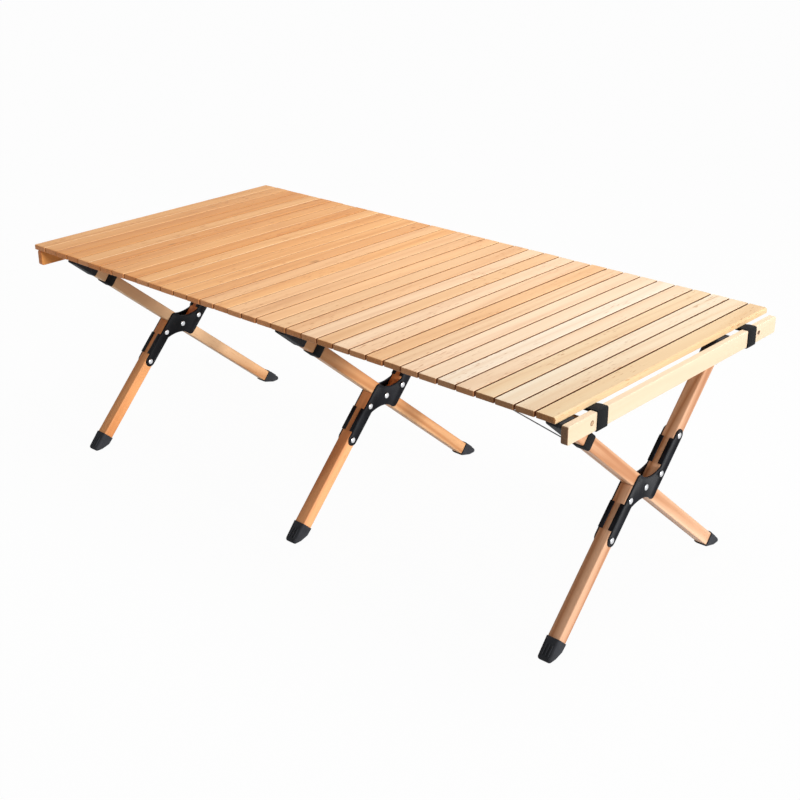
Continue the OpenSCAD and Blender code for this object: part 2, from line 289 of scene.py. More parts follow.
@dataclass(frozen=True)
class GrainPattern:
    """Wood grain that runs along Y: cells per metre, shares and stains of what it is made of."""

    board_shift: Triple = (3.7, 11.3, 5.9)
    streak_cells: Triple = (70, 2.4, 70)
    fibre_cells: Triple = (520, 10, 520)
    broad_cells: Triple = (16, 1.0, 16)
    ring_cells: Triple = (13, 0.75, 13)
    dash_cells: Triple = (430, 62, 430)
    patch_cells: Triple = (12, 5, 12)
    sawn_cells: Triple = (700, 700, 700)
    ring_turns: float = 46.0
    streak_share: float = 0.9
    streak_base: float = -0.12
    fibre_share: float = 0.34
    broad_share: float = 0.5
    ring_share: float = 0.26
    line_range: Point = (0.72, 1.0)
    line_share: float = 0.3
    line_stain: Colour = (0.72, 0.52, 0.38, 1)
    dash_range: Point = (0.68, 0.76)
    patch_range: Point = (0.44, 0.62)
    fleck_share: float = 0.85
    fleck_stain: Colour = (0.62, 0.42, 0.28, 1)
    fleck_depth: float = 0.3
    knot_range: Point = (0.075, 0.03)
    knot_share: float = 0.55
    knot_colour: Colour = (0.24, 0.1, 0.035, 1)
    pore_range: Point = (0.3, 0.7)
    pore_tones: Point = (0.75, 1.2)
    fibre_depth: float = 0.55
    streak_depth: float = 0.45
    fibre_rough: float = 0.16
    least_rough: float = 0.36

    def build(self) -> Tree:
        """Makes the group of streaks, fibres, growth lines, flecks and knots.

        Returns:
            The shader group.
        """
        inputs = {
            "Vector": (VECTOR, None),
            "Pale": (COLOUR, (0.8, 0.6, 0.4, 1)),
            "Deep": (COLOUR, (0.6, 0.35, 0.18, 1)),
            "Board": (FLOAT, 0.0),
            "End": (COLOUR, (0.36, 0.18, 0.08, 1)),
            "End Grain And Ring Shade": (FLOAT, 0.0),
            "Lines": (FLOAT, 0.3),
            "Flecks": (FLOAT, 0.5),
        }
        outputs = {"Color": COLOUR, "Roughness": FLOAT, "Height": FLOAT}
        g, i, sink = new_group("wood_grain", SHADER_TREE, inputs, outputs)
        place = g.vector("ADD", i["Vector"], g.scaled(self.board_shift, i["Board"]))
        streak = g.noise(place, self.streak_cells, 3.0, 0.4)
        fibre = g.noise(place, self.fibre_cells, 2.0)
        broad = g.noise(place, self.broad_cells, 1.0)
        rings = g.math("SINE", g.times(g.noise(place, self.ring_cells, 1.0), self.ring_turns))
        grain = g.times_plus(streak, self.streak_share, self.streak_base)
        grain = g.times_plus(g.minus(fibre, 0.5), self.fibre_share, grain)
        grain = g.times_plus(g.minus(broad, 0.5), self.broad_share, grain)
        grain = g.times_plus(rings, g.times(i["Lines"], self.ring_share), grain)
        colour = g.mix(g.band(grain, 0.0, 1.0), i["Pale"], i["Deep"])
        line = g.times(g.band(rings, *self.line_range), i["Lines"])
        colour = g.mix(g.times(line, self.line_share), colour, self.line_stain, "MULTIPLY")
        dash = g.band(g.noise(place, self.dash_cells, 0.0), *self.dash_range)
        patch = g.band(g.noise(place, self.patch_cells, 1.0), *self.patch_range)
        fleck = g.times(g.times(dash, patch), i["Flecks"])
        colour = g.mix(g.times(fleck, self.fleck_share), colour, self.fleck_stain, "MULTIPLY")
        spot = {"Vector": g.vector("MULTIPLY", place, self.patch_cells), "Scale": 1.0}
        near = g.band(g.call("ShaderNodeTexVoronoi", spot), *self.knot_range)
        knot = g.times(near, i["Flecks"])
        colour = g.mix(g.times(knot, self.knot_share), colour, self.knot_colour)
        pores = g.band(g.noise(place, self.sawn_cells, 1.0), *self.pore_range, *self.pore_tones)
        sawn = g.mix(1.0, i["End"], g.xyz(pores, pores, pores), "MULTIPLY")
        relief = g.times_plus(fibre, self.fibre_depth, g.times(streak, self.streak_depth))
        results = {
            # The end colour goes on sawn end faces, and on the peg's chamfer ring as a painted shadow.
            "Color": g.mix(i["End Grain And Ring Shade"], colour, sawn),
            "Roughness": g.times_plus(fibre, self.fibre_rough, self.least_rough),
            "Height": g.minus(relief, g.times(fleck, self.fleck_depth)),
        }
        g.feed(sink, results)
        return g.tree


def weave_group() -> Tree:
    """Webbing: yarns over and under across the strap, from a map in metres.

    Returns:
        The shader group.
    """
    inputs = {"Vector": (VECTOR, None), "Yarn": (FLOAT, 0.0013), "Row": (FLOAT, 0.0011)}
    g, i, sink = new_group("webbing_weave", SHADER_TREE, inputs, {"Shade": FLOAT, "Height": FLOAT})
    u, v, _ = g.split(i["Vector"])
    wave_u = g.math("SINE", g.times(g.math("DIVIDE", u, i["Yarn"]), math.pi))
    wave_v = g.math("SINE", g.times(g.math("DIVIDE", v, i["Row"]), math.pi))
    over_share, yarn_share = 0.4, 0.6
    # The shade darkens the hollows between yarns and lightens their crests: painted shade in the weave.
    darkest, lightest = -0.2, 0.95
    yarn = g.times(g.math("ABSOLUTE", wave_u), yarn_share)
    height = g.times_plus(g.times(wave_u, wave_v), over_share, yarn)
    g.feed(sink, {"Height": height, "Shade": g.band(height, darkest, lightest)})
    return g.tree


def handled_group() -> Tree:
    """Soft cloudy change of tone and polish, as on a moulded or painted part that has been handled.

    Returns:
        The shader group.
    """
    inputs = {"Vector": (VECTOR, None), "Scale": (FLOAT, 40.0), "Grit": (FLOAT, 900.0)}
    outputs = {"Tone": FLOAT, "Polish": FLOAT, "Height": FLOAT}
    g, i, sink = new_group("handled_surface", SHADER_TREE, inputs, outputs)
    cloud = g.call("ShaderNodeTexNoise", {"Vector": i["Vector"], "Scale": i["Scale"], "Detail": 4.0})
    grit = g.call("ShaderNodeTexNoise", {"Vector": i["Vector"], "Scale": i["Grit"], "Detail": 1.0})
    grit_share, cloud_share = 0.3, 0.7
    polish = g.times_plus(grit, grit_share, g.times(cloud, cloud_share))
    g.feed(sink, {"Tone": g.band(cloud, 0.3, 0.7), "Polish": polish, "Height": grit})
    return g.tree


@dataclass(frozen=True)
class Finish:
    """A material in the making."""

    name: str

    def start(self) -> tuple[Graph, Node, Material]:
        """Starts a material with its shader.

        Returns:
            The graph, the shader node and the material.
        """
        material = bpy.data.materials.new(self.name)
        material.use_nodes = True
        graph = Graph(material.node_tree)
        return graph, material.node_tree.nodes["Principled BSDF"], material


@dataclass(frozen=True)
class Ageing:
    """How slats turn from warm at the left end to cream at the right, each board in its own shade."""

    pale: Colour
    deep: Colour
    spread: Triple
    spread_middle: float = 0.62
    warm_end: Colour = (0.78, 0.32, 0.12, 1)
    # Colours multiplied into the slat sides that face the gaps: painted shade, for warm and for cream boards.
    warm_gap_shade: Colour = (0.5, 0.33, 0.22, 1)
    cream_gap_shade: Colour = (0.32, 0.145, 0.075, 1)
    # A painted highlight along the rounded upper edges, strongest on the warm boards.
    gleam: Colour = (0.98, 0.76, 0.48, 1)
    gleam_share: float = 0.5
    gleam_until: float = 0.4

    def shade(self, g: Graph, colour: Socket, age: Socket, board: Socket) -> Socket:
        """Gives the boards their own shades, painted shade on the sides in the gaps and a painted highlight
        on the upper edges.

        Args:
            g: The material's graph.
            colour: The grain's colour.
            age: 0 for warm boards to 1 for cream ones.
            board: Each board's own number from 0 to 1.

        Returns:
            The colour.
        """
        tint = g.xyz(*(g.times_plus(board, s, 1.0 - s * self.spread_middle) for s in self.spread))
        colour = g.mix(1.0, colour, tint, "MULTIPLY")
        # Painted shade: the sides that face the narrow gaps between slats are darkened.
        gap_shade_colour = g.mix(age, self.warm_gap_shade, self.cream_gap_shade)
        colour = g.mix(g.attribute("shaded_gap_side"), colour, gap_shade_colour, "MULTIPLY")
        # Painted highlight: the rounded upper edges are lightened, more on the warm boards.
        fading = g.band(age, 0.0, self.gleam_until, self.gleam_share, 0.0)
        edge = g.times(g.times(g.attribute("painted_edge_highlight"), board), fading)
        return g.mix(edge, colour, self.gleam)


@dataclass(frozen=True)
class WoodFinish(Finish):
    """Lacquered beech."""

    pale: Colour
    deep: Colour
    end: Colour = (0.36, 0.18, 0.08, 1)
    lay: Lay = Lay.ACROSS
    lines: float = 0.3
    flecks: float = 0.5
    ageing: Ageing | None = None
    shine: float = 0.2
    bump_depth: float = 0.0002
    bump_strength: float = 0.35

    def toned(self, side: Side, tone: Triple) -> "WoodFinish":
        """The same wood with its colours scaled to match how brightly one frame is lit: painted light and
        shade.

        Args:
            side: The frame that it is for.
            tone: Factors of its red, green and blue.

        Returns:
            The finish.
        """
        pale = tuple(c * t for c, t in zip(self.pale, (*tone, 1.0)))
        deep = tuple(c * t for c, t in zip(self.deep, (*tone, 1.0)))
        return replace(self, name=f"{side.value}_{self.name}", pale=pale, deep=deep)

    def build(self, grain: Tree) -> Material:
        """Makes the material.

        Args:
            grain: The shared wood group.

        Returns:
            The material.
        """
        g, shader, material = self.start()
        place = g.call("ShaderNodeTexCoord", {}, out="Object")
        if self.lay is not Lay.ACROSS:
            turn = (math.radians(self.lay.value), 0.0, 0.0)
            place = g.call("ShaderNodeMapping", {"Vector": place, "Rotation": turn})
        board = g.attribute("board")
        values = {
            "Vector": place,
            "Pale": self.pale,
            "Deep": self.deep,
            "Board": board,
            "End": self.end,
            "End Grain And Ring Shade": g.attribute("end_grain_and_ring_shade"),
            "Lines": self.lines,
            "Flecks": self.flecks,
        }
        if self.ageing is not None:
            age = g.attribute("cream")
            values["Pale"] = g.mix(age, self.pale, self.ageing.pale)
            values["Deep"] = g.mix(age, self.deep, self.ageing.deep)
            values["End"] = g.mix(age, self.ageing.warm_end, self.end)
        wood = g.group(grain, values)
        colour = wood.outputs["Color"]
        if self.ageing is not None:
            colour = self.ageing.shade(g, colour, age, board)
        results = {
            "Base Color": colour,
            "Specular IOR Level": self.shine,
            "Roughness": wood.outputs["Roughness"],
            "Normal": g.bump(wood.outputs["Height"], self.bump_depth, self.bump_strength),
        }
        g.feed(shader, results)
        return material


@dataclass(frozen=True)
class MouldedFinish(Finish):
    """Rubber, cord, or paint over steel."""

    dark: Colour
    light: Colour
    rough: float
    spread: float
    grit: float
    bump_depth: float
    bump_strength: float = 0.5
    metallic: float = 0.0
    shine: float = 0.5
    # A darker colour on the low edge of a rivet's dome, where its rim number is set: a painted dark
    # reflection round a bright centre.
    rim: Colour | None = None

    def build(self, handled: Tree) -> Material:
        """Makes the material.

        Args:
            handled: The shared group of soft tone and polish.

        Returns:
            The material.
        """
        g, shader, material = self.start()
        place = g.call("ShaderNodeTexCoord", {}, out="Object")
        surface = g.group(handled, {"Vector": place, "Grit": self.grit}).outputs
        colour = g.mix(surface["Tone"], self.dark, self.light)
        # Painted dark reflection round the edge of each rivet dome.
        if self.rim is not None:
            colour = g.mix(g.attribute("rim"), colour, self.rim)
        results = {
            "Base Color": colour,
            "Roughness": g.times_plus(surface["Polish"], self.spread, self.rough),
            "Metallic": self.metallic,
            "Specular IOR Level": self.shine,
            "Normal": g.bump(surface["Height"], self.bump_depth, self.bump_strength),
        }
        g.feed(shader, results)
        return material


@dataclass(frozen=True)
class WebbingFinish(Finish):
    """Woven polyester strap."""

    dark: Colour
    light: Colour
    rough: Point = (0.9, 0.62)
    shine: float = 0.12
    bump_depth: float = 0.0004
    bump_strength: float = 0.6

    def build(self, weave: Tree) -> Material:
        """Makes the material.

        Args:
            weave: The shared weave group.

        Returns:
            The material.
        """
        g, shader, material = self.start()
        cloth = g.group(weave, {"Vector": g.call("ShaderNodeUVMap", {}, uv_map="strap")}).outputs
        results = {
            # Painted shade: the weave's hollows come out darker and its crests lighter.
            "Base Color": g.mix(cloth["Shade"], self.dark, self.light),
            "Roughness": g.band(cloth["Shade"], 0.0, 1.0, *self.rough),
            "Specular IOR Level": self.shine,
            "Normal": g.bump(cloth["Height"], self.bump_depth, self.bump_strength),
        }
        g.feed(shader, results)
        return material


# Colour factors on each frame's legs: painted light and shade, matching how brightly each frame is lit.
CROSS_LEG_LIGHT_TINTS = {
    Side.LEFT: (1.12, 1.10, 1.0),
    Side.MIDDLE: (1.08, 0.94, 0.75),
    Side.RIGHT: (1.07, 1.0, 1.0),
}
SPLIT_LEG_LIGHT_TINTS = {
    Side.LEFT: (1.10, 0.85, 0.60),
    Side.MIDDLE: (1.20, 0.97, 0.78),
    Side.RIGHT: (0.97, 0.92, 0.97),
}


class Finishes:
    """Every finish of the table, each built once."""

    def __init__(self) -> None:
        """Builds the shared groups and the materials."""
        grain, weave, handled = GrainPattern().build(), weave_group(), handled_group()
        self.slat = WoodFinish(
            "slat_beech",
            pale=(0.90, 0.465, 0.175, 1),
            deep=(0.67, 0.275, 0.078, 1),
            lines=0.45,
            flecks=0.8,
            ageing=Ageing((0.85, 0.72, 0.55, 1), (0.77, 0.56, 0.36, 1), spread=(0.10, 0.28, 0.56)),
        ).build(grain)
        self.rail = WoodFinish(
            "rail_beech",
            pale=(0.87, 0.69, 0.50, 1),
            deep=(0.80, 0.59, 0.385, 1),
            end=(0.22, 0.115, 0.06, 1),
            lines=0.2,
            flecks=0.1,
        ).build(grain)
        cross = WoodFinish(
            "cross_leg_beech",
            pale=(0.83, 0.56, 0.36, 1),
            deep=(0.58, 0.30, 0.145, 1),
            lay=Lay.CROSS_LEG,
            lines=1.7,
            flecks=0.3,
        )
        split = WoodFinish(
            "split_leg_beech",
            pale=(0.79, 0.475, 0.27, 1),
            deep=(0.53, 0.25, 0.11, 1),
            lay=Lay.SPLIT_LEG,
            lines=1.7,
            flecks=0.3,
        )
        self.cross_leg = {s: cross.toned(s, tone).build(grain) for s, tone in CROSS_LEG_LIGHT_TINTS.items()}
        self.split_leg = {s: split.toned(s, tone).build(grain) for s, tone in SPLIT_LEG_LIGHT_TINTS.items()}
        self.peg = WoodFinish(
            "peg_beech",
            pale=(0.62, 0.42, 0.26, 1),
            deep=(0.48, 0.29, 0.16, 1),
            # A dark end colour, which paints the shadow ring round the peg's outer end.
            end=(0.16, 0.08, 0.04, 1),
            lines=0.5,
            flecks=0.1,
        ).build(grain)
        self.rubber = MouldedFinish(
            "boot_rubber",
            dark=(0.026, 0.027, 0.031, 1),
            light=(0.046, 0.048, 0.056, 1),
            rough=0.46,
            spread=0.28,
            grit=1400.0,
            bump_depth=0.0001,
            shine=0.08,
        ).build(handled)
        self.plate = MouldedFinish(
            "plate_black",
            dark=(0.005, 0.0053, 0.0068, 1),
            light=(0.0115, 0.0125, 0.0168, 1),
            rough=0.2,
            spread=0.14,
            grit=2200.0,
            bump_depth=0.00003,
            shine=0.08,
        ).build(handled)
        self.rivet = MouldedFinish(
            "rivet_bright",
            dark=(0.62, 0.63, 0.65, 1),
            light=(0.86, 0.86, 0.88, 1),
            rough=0.22,
            spread=0.2,
            grit=1800.0,
            bump_depth=0.00003,
            metallic=1.0,
            # Painted dark reflection round the edge of each rivet head.
            rim=(0.05, 0.05, 0.055, 1),
        ).build(handled)
        self.webbing = WebbingFinish(
            "webbing_black", dark=(0.004, 0.004, 0.0045, 1), light=(0.014, 0.0145, 0.016, 1)
        ).build(weave)
        self.cord = MouldedFinish(
            "cord_grey",
            dark=(0.16, 0.17, 0.19, 1),
            light=(0.34, 0.35, 0.38, 1),
            rough=0.6,
            spread=0.2,
            grit=2600.0,
            bump_depth=0.0002,
        ).build(handled)


def show(name: str, data: bpy.types.ID) -> Piece:
    """Puts an object in the scene.

    Args:
        name: Its name.
        data: Its mesh, curve, lamp or camera.

    Returns:
        The object.
    """
    thing = bpy.data.objects.new(name, data)
    bpy.context.scene.collection.objects.link(thing)
    return thing


def place_piece(name: str, mesh: Mesh, material: Material | None = None, sharp: float = 35.0) -> Piece:
    """Puts a mesh in the scene as a piece with soft shading.

    Args:
        name: The piece's name.
        mesh: Its mesh, in place.
        material: Its finish, or None where the mesh has its own.
        sharp: Edges over this many degrees stay crisp.

    Returns:
        The object.
    """
    piece = show(name, mesh)
    if material is not None:
        mesh.materials.clear()
        mesh.materials.append(material)
    mesh.polygons.foreach_set("use_smooth", [True] * len(mesh.polygons))
    mesh.set_sharp_from_angle(angle=math.radians(sharp))
    return piece


def flatten_shading(piece: Piece) -> Piece:
    """Keeps the large faces flat in the light, with the rounding only in the edges."""
    piece.modifiers.new("flat_faces", "WEIGHTED_NORMAL").keep_sharp = True
    return piece


def dress(piece: Piece, body: str, slot: str, *nodes: str) -> None:
    """Makes a piece ride on a body and stand for its CAD nodes.

    Args:
        piece: The piece.
        body: The body that carries it.
        slot: The record's material slot; not used.
        nodes: The CAD nodes that it stands for.
    """
    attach(piece, body)
    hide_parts(*nodes)
    LOG.info("%s rides on %s", piece.name, body)


def plain_mesh(piece: Piece) -> Mesh:
    """The piece's mesh with its modifiers worked in."""
    graph = bpy.context.evaluated_depsgraph_get()
    return bpy.data.meshes.new_from_object(piece.evaluated_get(graph), depsgraph=graph)


def grow(name: str, tree: Tree, values: dict, seed_mesh: Mesh | None = None) -> Mesh:
    """Runs a geometry tree once and keeps the result as a plain mesh.

    Args:
        name: The mesh's name.
        tree: The geometry tree.
        values: Its inputs by name.
        seed_mesh: The mesh that it starts from, if it needs one.

    Returns:
        The mesh.
    """
    carrier = show(name + "_maker", seed_mesh or bpy.data.meshes.new(name + "_seed"))
    modifier = carrier.modifiers.new("grow", "NODES")
    modifier.node_group = tree
    for item in tree.interface.items_tree:
        if item.item_type == "SOCKET" and item.in_out == "INPUT" and item.name in values:
            modifier[item.identifier] = values[item.name]
    mesh = plain_mesh(carrier)
    mesh.name = name
    carrier.modifiers.remove(modifier)
    bpy.data.objects.remove(carrier)
    return mesh


def mark_faces(mesh: Mesh, label: str, *axes: Vector, least: float = 0.6) -> None:
    """Marks the faces that look along one of some directions, such as sawn ends.

    Args:
        mesh: The mesh.
        label: The mark's name.
        axes: The directions.
        least: How squarely a face has to look along one.
    """
    attribute = mesh.attributes.new(label, "FLOAT", "FACE")
    marks = [float(max(p.normal.dot(axis) for axis in axes) > least) for p in mesh.polygons]
    attribute.data.foreach_set("value", marks)


def circle(count: int) -> list[Point]:
    """Points round a circle of radius 1."""
    turns = [2 * math.pi * k / count for k in range(count)]
    return [(math.cos(t), math.sin(t)) for t in turns]


def round_rect(a: float, b: float, r: float, steps: int = 6) -> list[Point]:
    """Points round a rectangle with round corners, anticlockwise.

    Args:
        a: Width.
        b: Height.
        r: Corner radius.
        steps: Points on each corner.

    Returns:
        The points.
    """
    points = []
    for cx, cy, start in ((1, 1, 0), (-1, 1, 90), (-1, -1, 180), (1, -1, 270)):
        for k in range(steps):
            t = math.radians(start + 90 * k / (steps - 1))
            points.append((cx * (a / 2 - r) + r * math.cos(t), cy * (b / 2 - r) + r * math.sin(t)))
    return points


class Solid:
    """A mesh in the making."""

    def __init__(self) -> None:
        """Starts empty."""
        self.bm = bmesh.new()

    def loft(self, rings: Sequence[Sequence[Triple]]) -> "Solid":
        """Skins closed rings of points one after another and closes both ends.

        Args:
            rings: Rings with the same number of points.

        Returns:
            Itself.
        """
        rows = [[self.bm.verts.new(p) for p in ring] for ring in rings]
        count = len(rows[0])
        for a, b in zip(rows, rows[1:]):
            for k in range(count):
                n = (k + 1) % count
                self.bm.faces.new((a[k], a[n], b[n], b[k]))
        self.bm.faces.new(list(reversed(rows[0])))
        self.bm.faces.new(rows[-1])
        return self

    def face_out(self) -> None:
        """Turns every face outwards."""
        bmesh.ops.recalc_face_normals(self.bm, faces=self.bm.faces[:])

    def merge(self) -> None:
        """Merges doubled points and turns every face outwards."""
        bmesh.ops.remove_doubles(self.bm, verts=self.bm.verts[:], dist=MERGE_DISTANCE)
        self.face_out()

    def cut(self, point: Vector, away: Vector) -> "Solid":
        """Cuts off what lies beyond a plane and closes the cut.

        Args:
            point: A point on the plane.
            away: The side that is cut off.

        Returns:
            Itself.
        """
        geometry = self.bm.verts[:] + self.bm.edges[:] + self.bm.faces[:]
        result = bmesh.ops.bisect_plane(
            self.bm, geom=geometry, plane_co=point, plane_no=away, clear_outer=True, dist=1e-7
        )
        rim = [e for e in result["geom_cut"] if isinstance(e, bmesh.types.BMEdge)]
        bmesh.ops.holes_fill(self.bm, edges=rim, sides=0)
        return self

    def soften(self, width: float, angle: float, segments: int = 3) -> "Solid":
        """Rounds the edges that are sharper than an angle.

        Args:
            width: How far the rounding reaches.
            angle: The least angle that is rounded, in degrees.
            segments: Steps across it.

        Returns:
            Itself.
        """
        self.merge()
        limit = math.radians(angle)
        bmesh.ops.bevel(
            self.bm,
            geom=[e for e in self.bm.edges if e.is_manifold and e.calc_face_angle(0.0) > limit],
            offset=width,
            segments=segments,
            profile=0.5,
            affect="EDGES",
            clamp_overlap=True,
        )
        return self

    def wrap_balls(self, radius: float) -> "Solid":
        """Lays a ball on every corner and wraps them all tightly, which rounds every edge of a convex form.

        Args:
            radius: The balls' radius.

        Returns:
            Itself.
        """
        self.face_out()
        corners = [v.co.copy() for v in self.bm.verts]
        ways = [f.normal.copy() for f in self.bm.faces]
        ball = bmesh.new()
        bmesh.ops.create_icosphere(ball, subdivisions=3, radius=1.0)
        ways += [v.co.copy() for v in ball.verts]
        ball.free()
        self.bm.clear()
        for corner in corners:
            for way in ways:
                self.bm.verts.new(corner + way * radius)
        hull = bmesh.ops.convex_hull(self.bm, input=self.bm.verts[:])
        inside = hull["geom_interior"] + hull["geom_unused"]
        spare = {v for v in inside if isinstance(v, bmesh.types.BMVert)}
        bmesh.ops.delete(self.bm, geom=list(spare), context="VERTS")
        return self

    def move(self, matrix: Matrix) -> "Solid":
        """Moves the whole mesh."""
        self.bm.transform(matrix)
        return self

    def mesh(self, name: str) -> Mesh:
        """Ends the making.

        Args:
            name: The mesh's name.

        Returns:
            The mesh.
        """
        self.merge()
        made = bpy.data.meshes.new(name)
        self.bm.to_mesh(made)
        self.bm.free()
        return made


def joined(name: str, meshes: Sequence[Mesh]) -> Mesh:
    """One mesh from several, with their material numbers kept.

    Args:
        name: The new mesh's name.
        meshes: The meshes.

    Returns:
        The mesh.
    """
    bm = bmesh.new()
    for mesh in meshes:
        bm.from_mesh(mesh)
    made = bpy.data.meshes.new(name)
    bm.to_mesh(made)
    bm.free()
    return made


def rounded_bar_group() -> Tree:
    """A bar whose edges and corners are all rounded, with its own radius on each axis.

    Returns:
        The geometry group.
    """
    inputs = {
        "Size": (VECTOR, (0.03, 0.6, 0.01)),
        "Round": (VECTOR, (0.001, 0.002, 0.001)),
        "Outer Round": (FLOAT, 0.001),
    }
    g, i, sink = new_group("rounded_bar", GEOMETRY_TREE, inputs, {"Geometry": GEOMETRY})
    count = 8
    grid = {"Size": (2, 2, 2), "Vertices X": count, "Vertices Y": count, "Vertices Z": count}
    cube = g.call("GeometryNodeMeshCube", grid)
    place = g.call("GeometryNodeInputPosition", {})
    side = g.vector("SIGN", place)
    # the grid's two middle lines bound the flat faces, and the others spread over the rounding
    stretch, back = (count - 1) / (count - 2), -1 / (count - 2)
    share = g.vector("MULTIPLY_ADD", g.vector("ABSOLUTE", place), (stretch,) * 3, (back,) * 3)
    lean = g.vector("TANGENT", g.scaled(share, math.pi / 4))
    out = g.vector("NORMALIZE", g.vector("MULTIPLY", side, lean))
    x, _, z = g.split(place)
    outer = g.times(g.math("GREATER_THAN", x, 0.0), g.math("GREATER_THAN", z, 0.0))
    rx, ry, rz = g.split(i["Round"])
    extra = g.times(outer, g.minus(i["Outer Round"], rx))
    radius = g.xyz(g.math("ADD", rx, extra), ry, g.math("ADD", rz, extra))
    core = g.vector("SUBTRACT", g.scaled(i["Size"], 0.5), radius)
    shaped = g.vector("MULTIPLY_ADD", radius, out, g.vector("MULTIPLY", side, core))
    bar = g.call("GeometryNodeSetPosition", {"Geometry": cube, "Position": shaped})
    g.feed(sink, {"Geometry": bar})
    return g.tree


def slat_row_tree(bar_group: Tree) -> Tree:
    """A row of slats whose gaps widen along the table, each with its own shade, length and staples.

    Args:
        bar_group: The rounded bar.

    Returns:
        The geometry tree.
    """
    inputs = {
        "First": (INTEGER, 0),
        "Count": (INTEGER, 1),
        "Slats": (INTEGER, 35),
        "Size": (VECTOR, (0.0329, 0.6, 0.01)),
        "Round": (VECTOR, (0.001, 0.002, 0.001)),
        "Outer Round": (FLOAT, 0.001),
        "Gap Left": (FLOAT, 0.0008),
        "Gap Right": (FLOAT, 0.0024),
        "Left Edge": (FLOAT, -0.6),
        "Underside": (FLOAT, 0.39),
        "Narrowing": (FLOAT, 0.999),
        "Shortening": (FLOAT, 0.004),
        "Tilt": (FLOAT, 0.003),
        "Warmth": (FLOAT, 0.0),
        "Cream From": (FLOAT, 0.39),
        "Cream To": (FLOAT, 0.91),
        "Cream Scatter": (FLOAT, 0.12),
        "Strap Y": (FLOAT, 0.213),
        "Strap Thickness": (FLOAT, 0.0016),
        "Staple Size": (VECTOR, (0.0012, 0.011, 0.0007)),
        "Staple Round": (VECTOR, (0.0003, 0.0006, 0.0003)),
        "Staple Shift": (FLOAT, 0.006),
        "Staple Drop": (FLOAT, 0.0002),
        "Wood": (MATERIAL, None),
        "Steel": (MATERIAL, None),
    }
    g, i, sink = new_group("slat_row", GEOMETRY_TREE, inputs, {"Geometry": GEOMETRY})
    width, length, thick = g.split(i["Size"])
    points = g.call("GeometryNodeMeshLine", {"Count": i["Count"], "Offset": (0, 0, 0)})
    number = g.math("ADD", g.call("GeometryNodeInputIndex", {}), i["First"])
    more = g.minus(i["Gap Right"], i["Gap Left"])
    widen = g.math("DIVIDE", more, g.minus(i["Slats"], 2.0))
    pairs = g.times(g.times(number, g.minus(number, 1.0)), 0.5)
    gaps = g.times_plus(pairs, widen, g.times(number, i["Gap Left"]))
    left = g.math("ADD", g.times_plus(number, width, gaps), i["Left Edge"])
    middle_x = g.times_plus(width, 0.5, left)
    middle_z = g.times_plus(thick, 0.5, i["Underside"])

    def chance(draw: Draw, low: object, high: object) -> Socket:
        """A number for each slat that stays the same from run to run."""
        values = {2: low, 3: high, "ID": number, "Seed": draw.value}
        return g.call("FunctionNodeRandomValue", values, out=1, data_type="FLOAT")

    shrink = g.times(chance(Draw.LENGTH, 0.0, 1.0), i["Shortening"])
    slide = g.times(g.times(shrink, length), chance(Draw.SLIDE, -0.5, 0.5))
    place = g.xyz(middle_x, slide, middle_z)
    points = g.call("GeometryNodeSetPosition", {"Geometry": points, "Position": place})
    along = g.math("DIVIDE", number, g.minus(i["Slats"], 1.0))
    scatter = chance(Draw.AGE, g.times(i["Cream Scatter"], -1.0), i["Cream Scatter"])
    cream = g.band(g.math("ADD", along, scatter), i["Cream From"], i["Cream To"])
    board = g.math("MAXIMUM", g.minus(chance(Draw.SHADE, 0.0, 1.0), i["Warmth"]), 0.0)
    points = g.store(g.store(points, "board", board), "cream", cream)
    bar = g.group(bar_group, {label: i[label] for label in ("Size", "Round", "Outer Round")})
    lean = g.times(chance(Draw.TILT, -1.0, 1.0), i["Tilt"])
    set_on = {
        "Points": points,
        "Instance": bar.outputs[0],
        "Rotation": g.xyz(0.0, lean, 0.0),
        "Scale": g.xyz(i["Narrowing"], g.minus(1.0, shrink), 1.0),
    }
    slats = g.real(g.call("GeometryNodeInstanceOnPoints", set_on), i["Wood"])
    corner = g.split(i["Staple Round"])[0]
    staple_values = {"Size": i["Staple Size"], "Round": i["Staple Round"], "Outer Round": corner}
    staple = g.group(bar_group, staple_values).outputs[0]
    under_strap = g.times_plus(thick, -0.5, g.times(i["Strap Thickness"], -1.0))
    drop = g.minus(under_strap, i["Staple Drop"])
    rows = []
    for side in (-1.0, 1.0):
        for way in (-1.0, 1.0):
            offset = g.xyz(g.times(i["Staple Shift"], way), g.times(i["Strap Y"], side), drop)
            moved = g.call("GeometryNodeSetPosition", {"Geometry": points, "Offset": offset})
            rows.append(g.call("GeometryNodeInstanceOnPoints", {"Points": moved, "Instance": staple}))
    steel = g.real(g.join(rows), i["Steel"])
    g.feed(sink, {"Geometry": g.join((slats, steel))})
    return g.tree


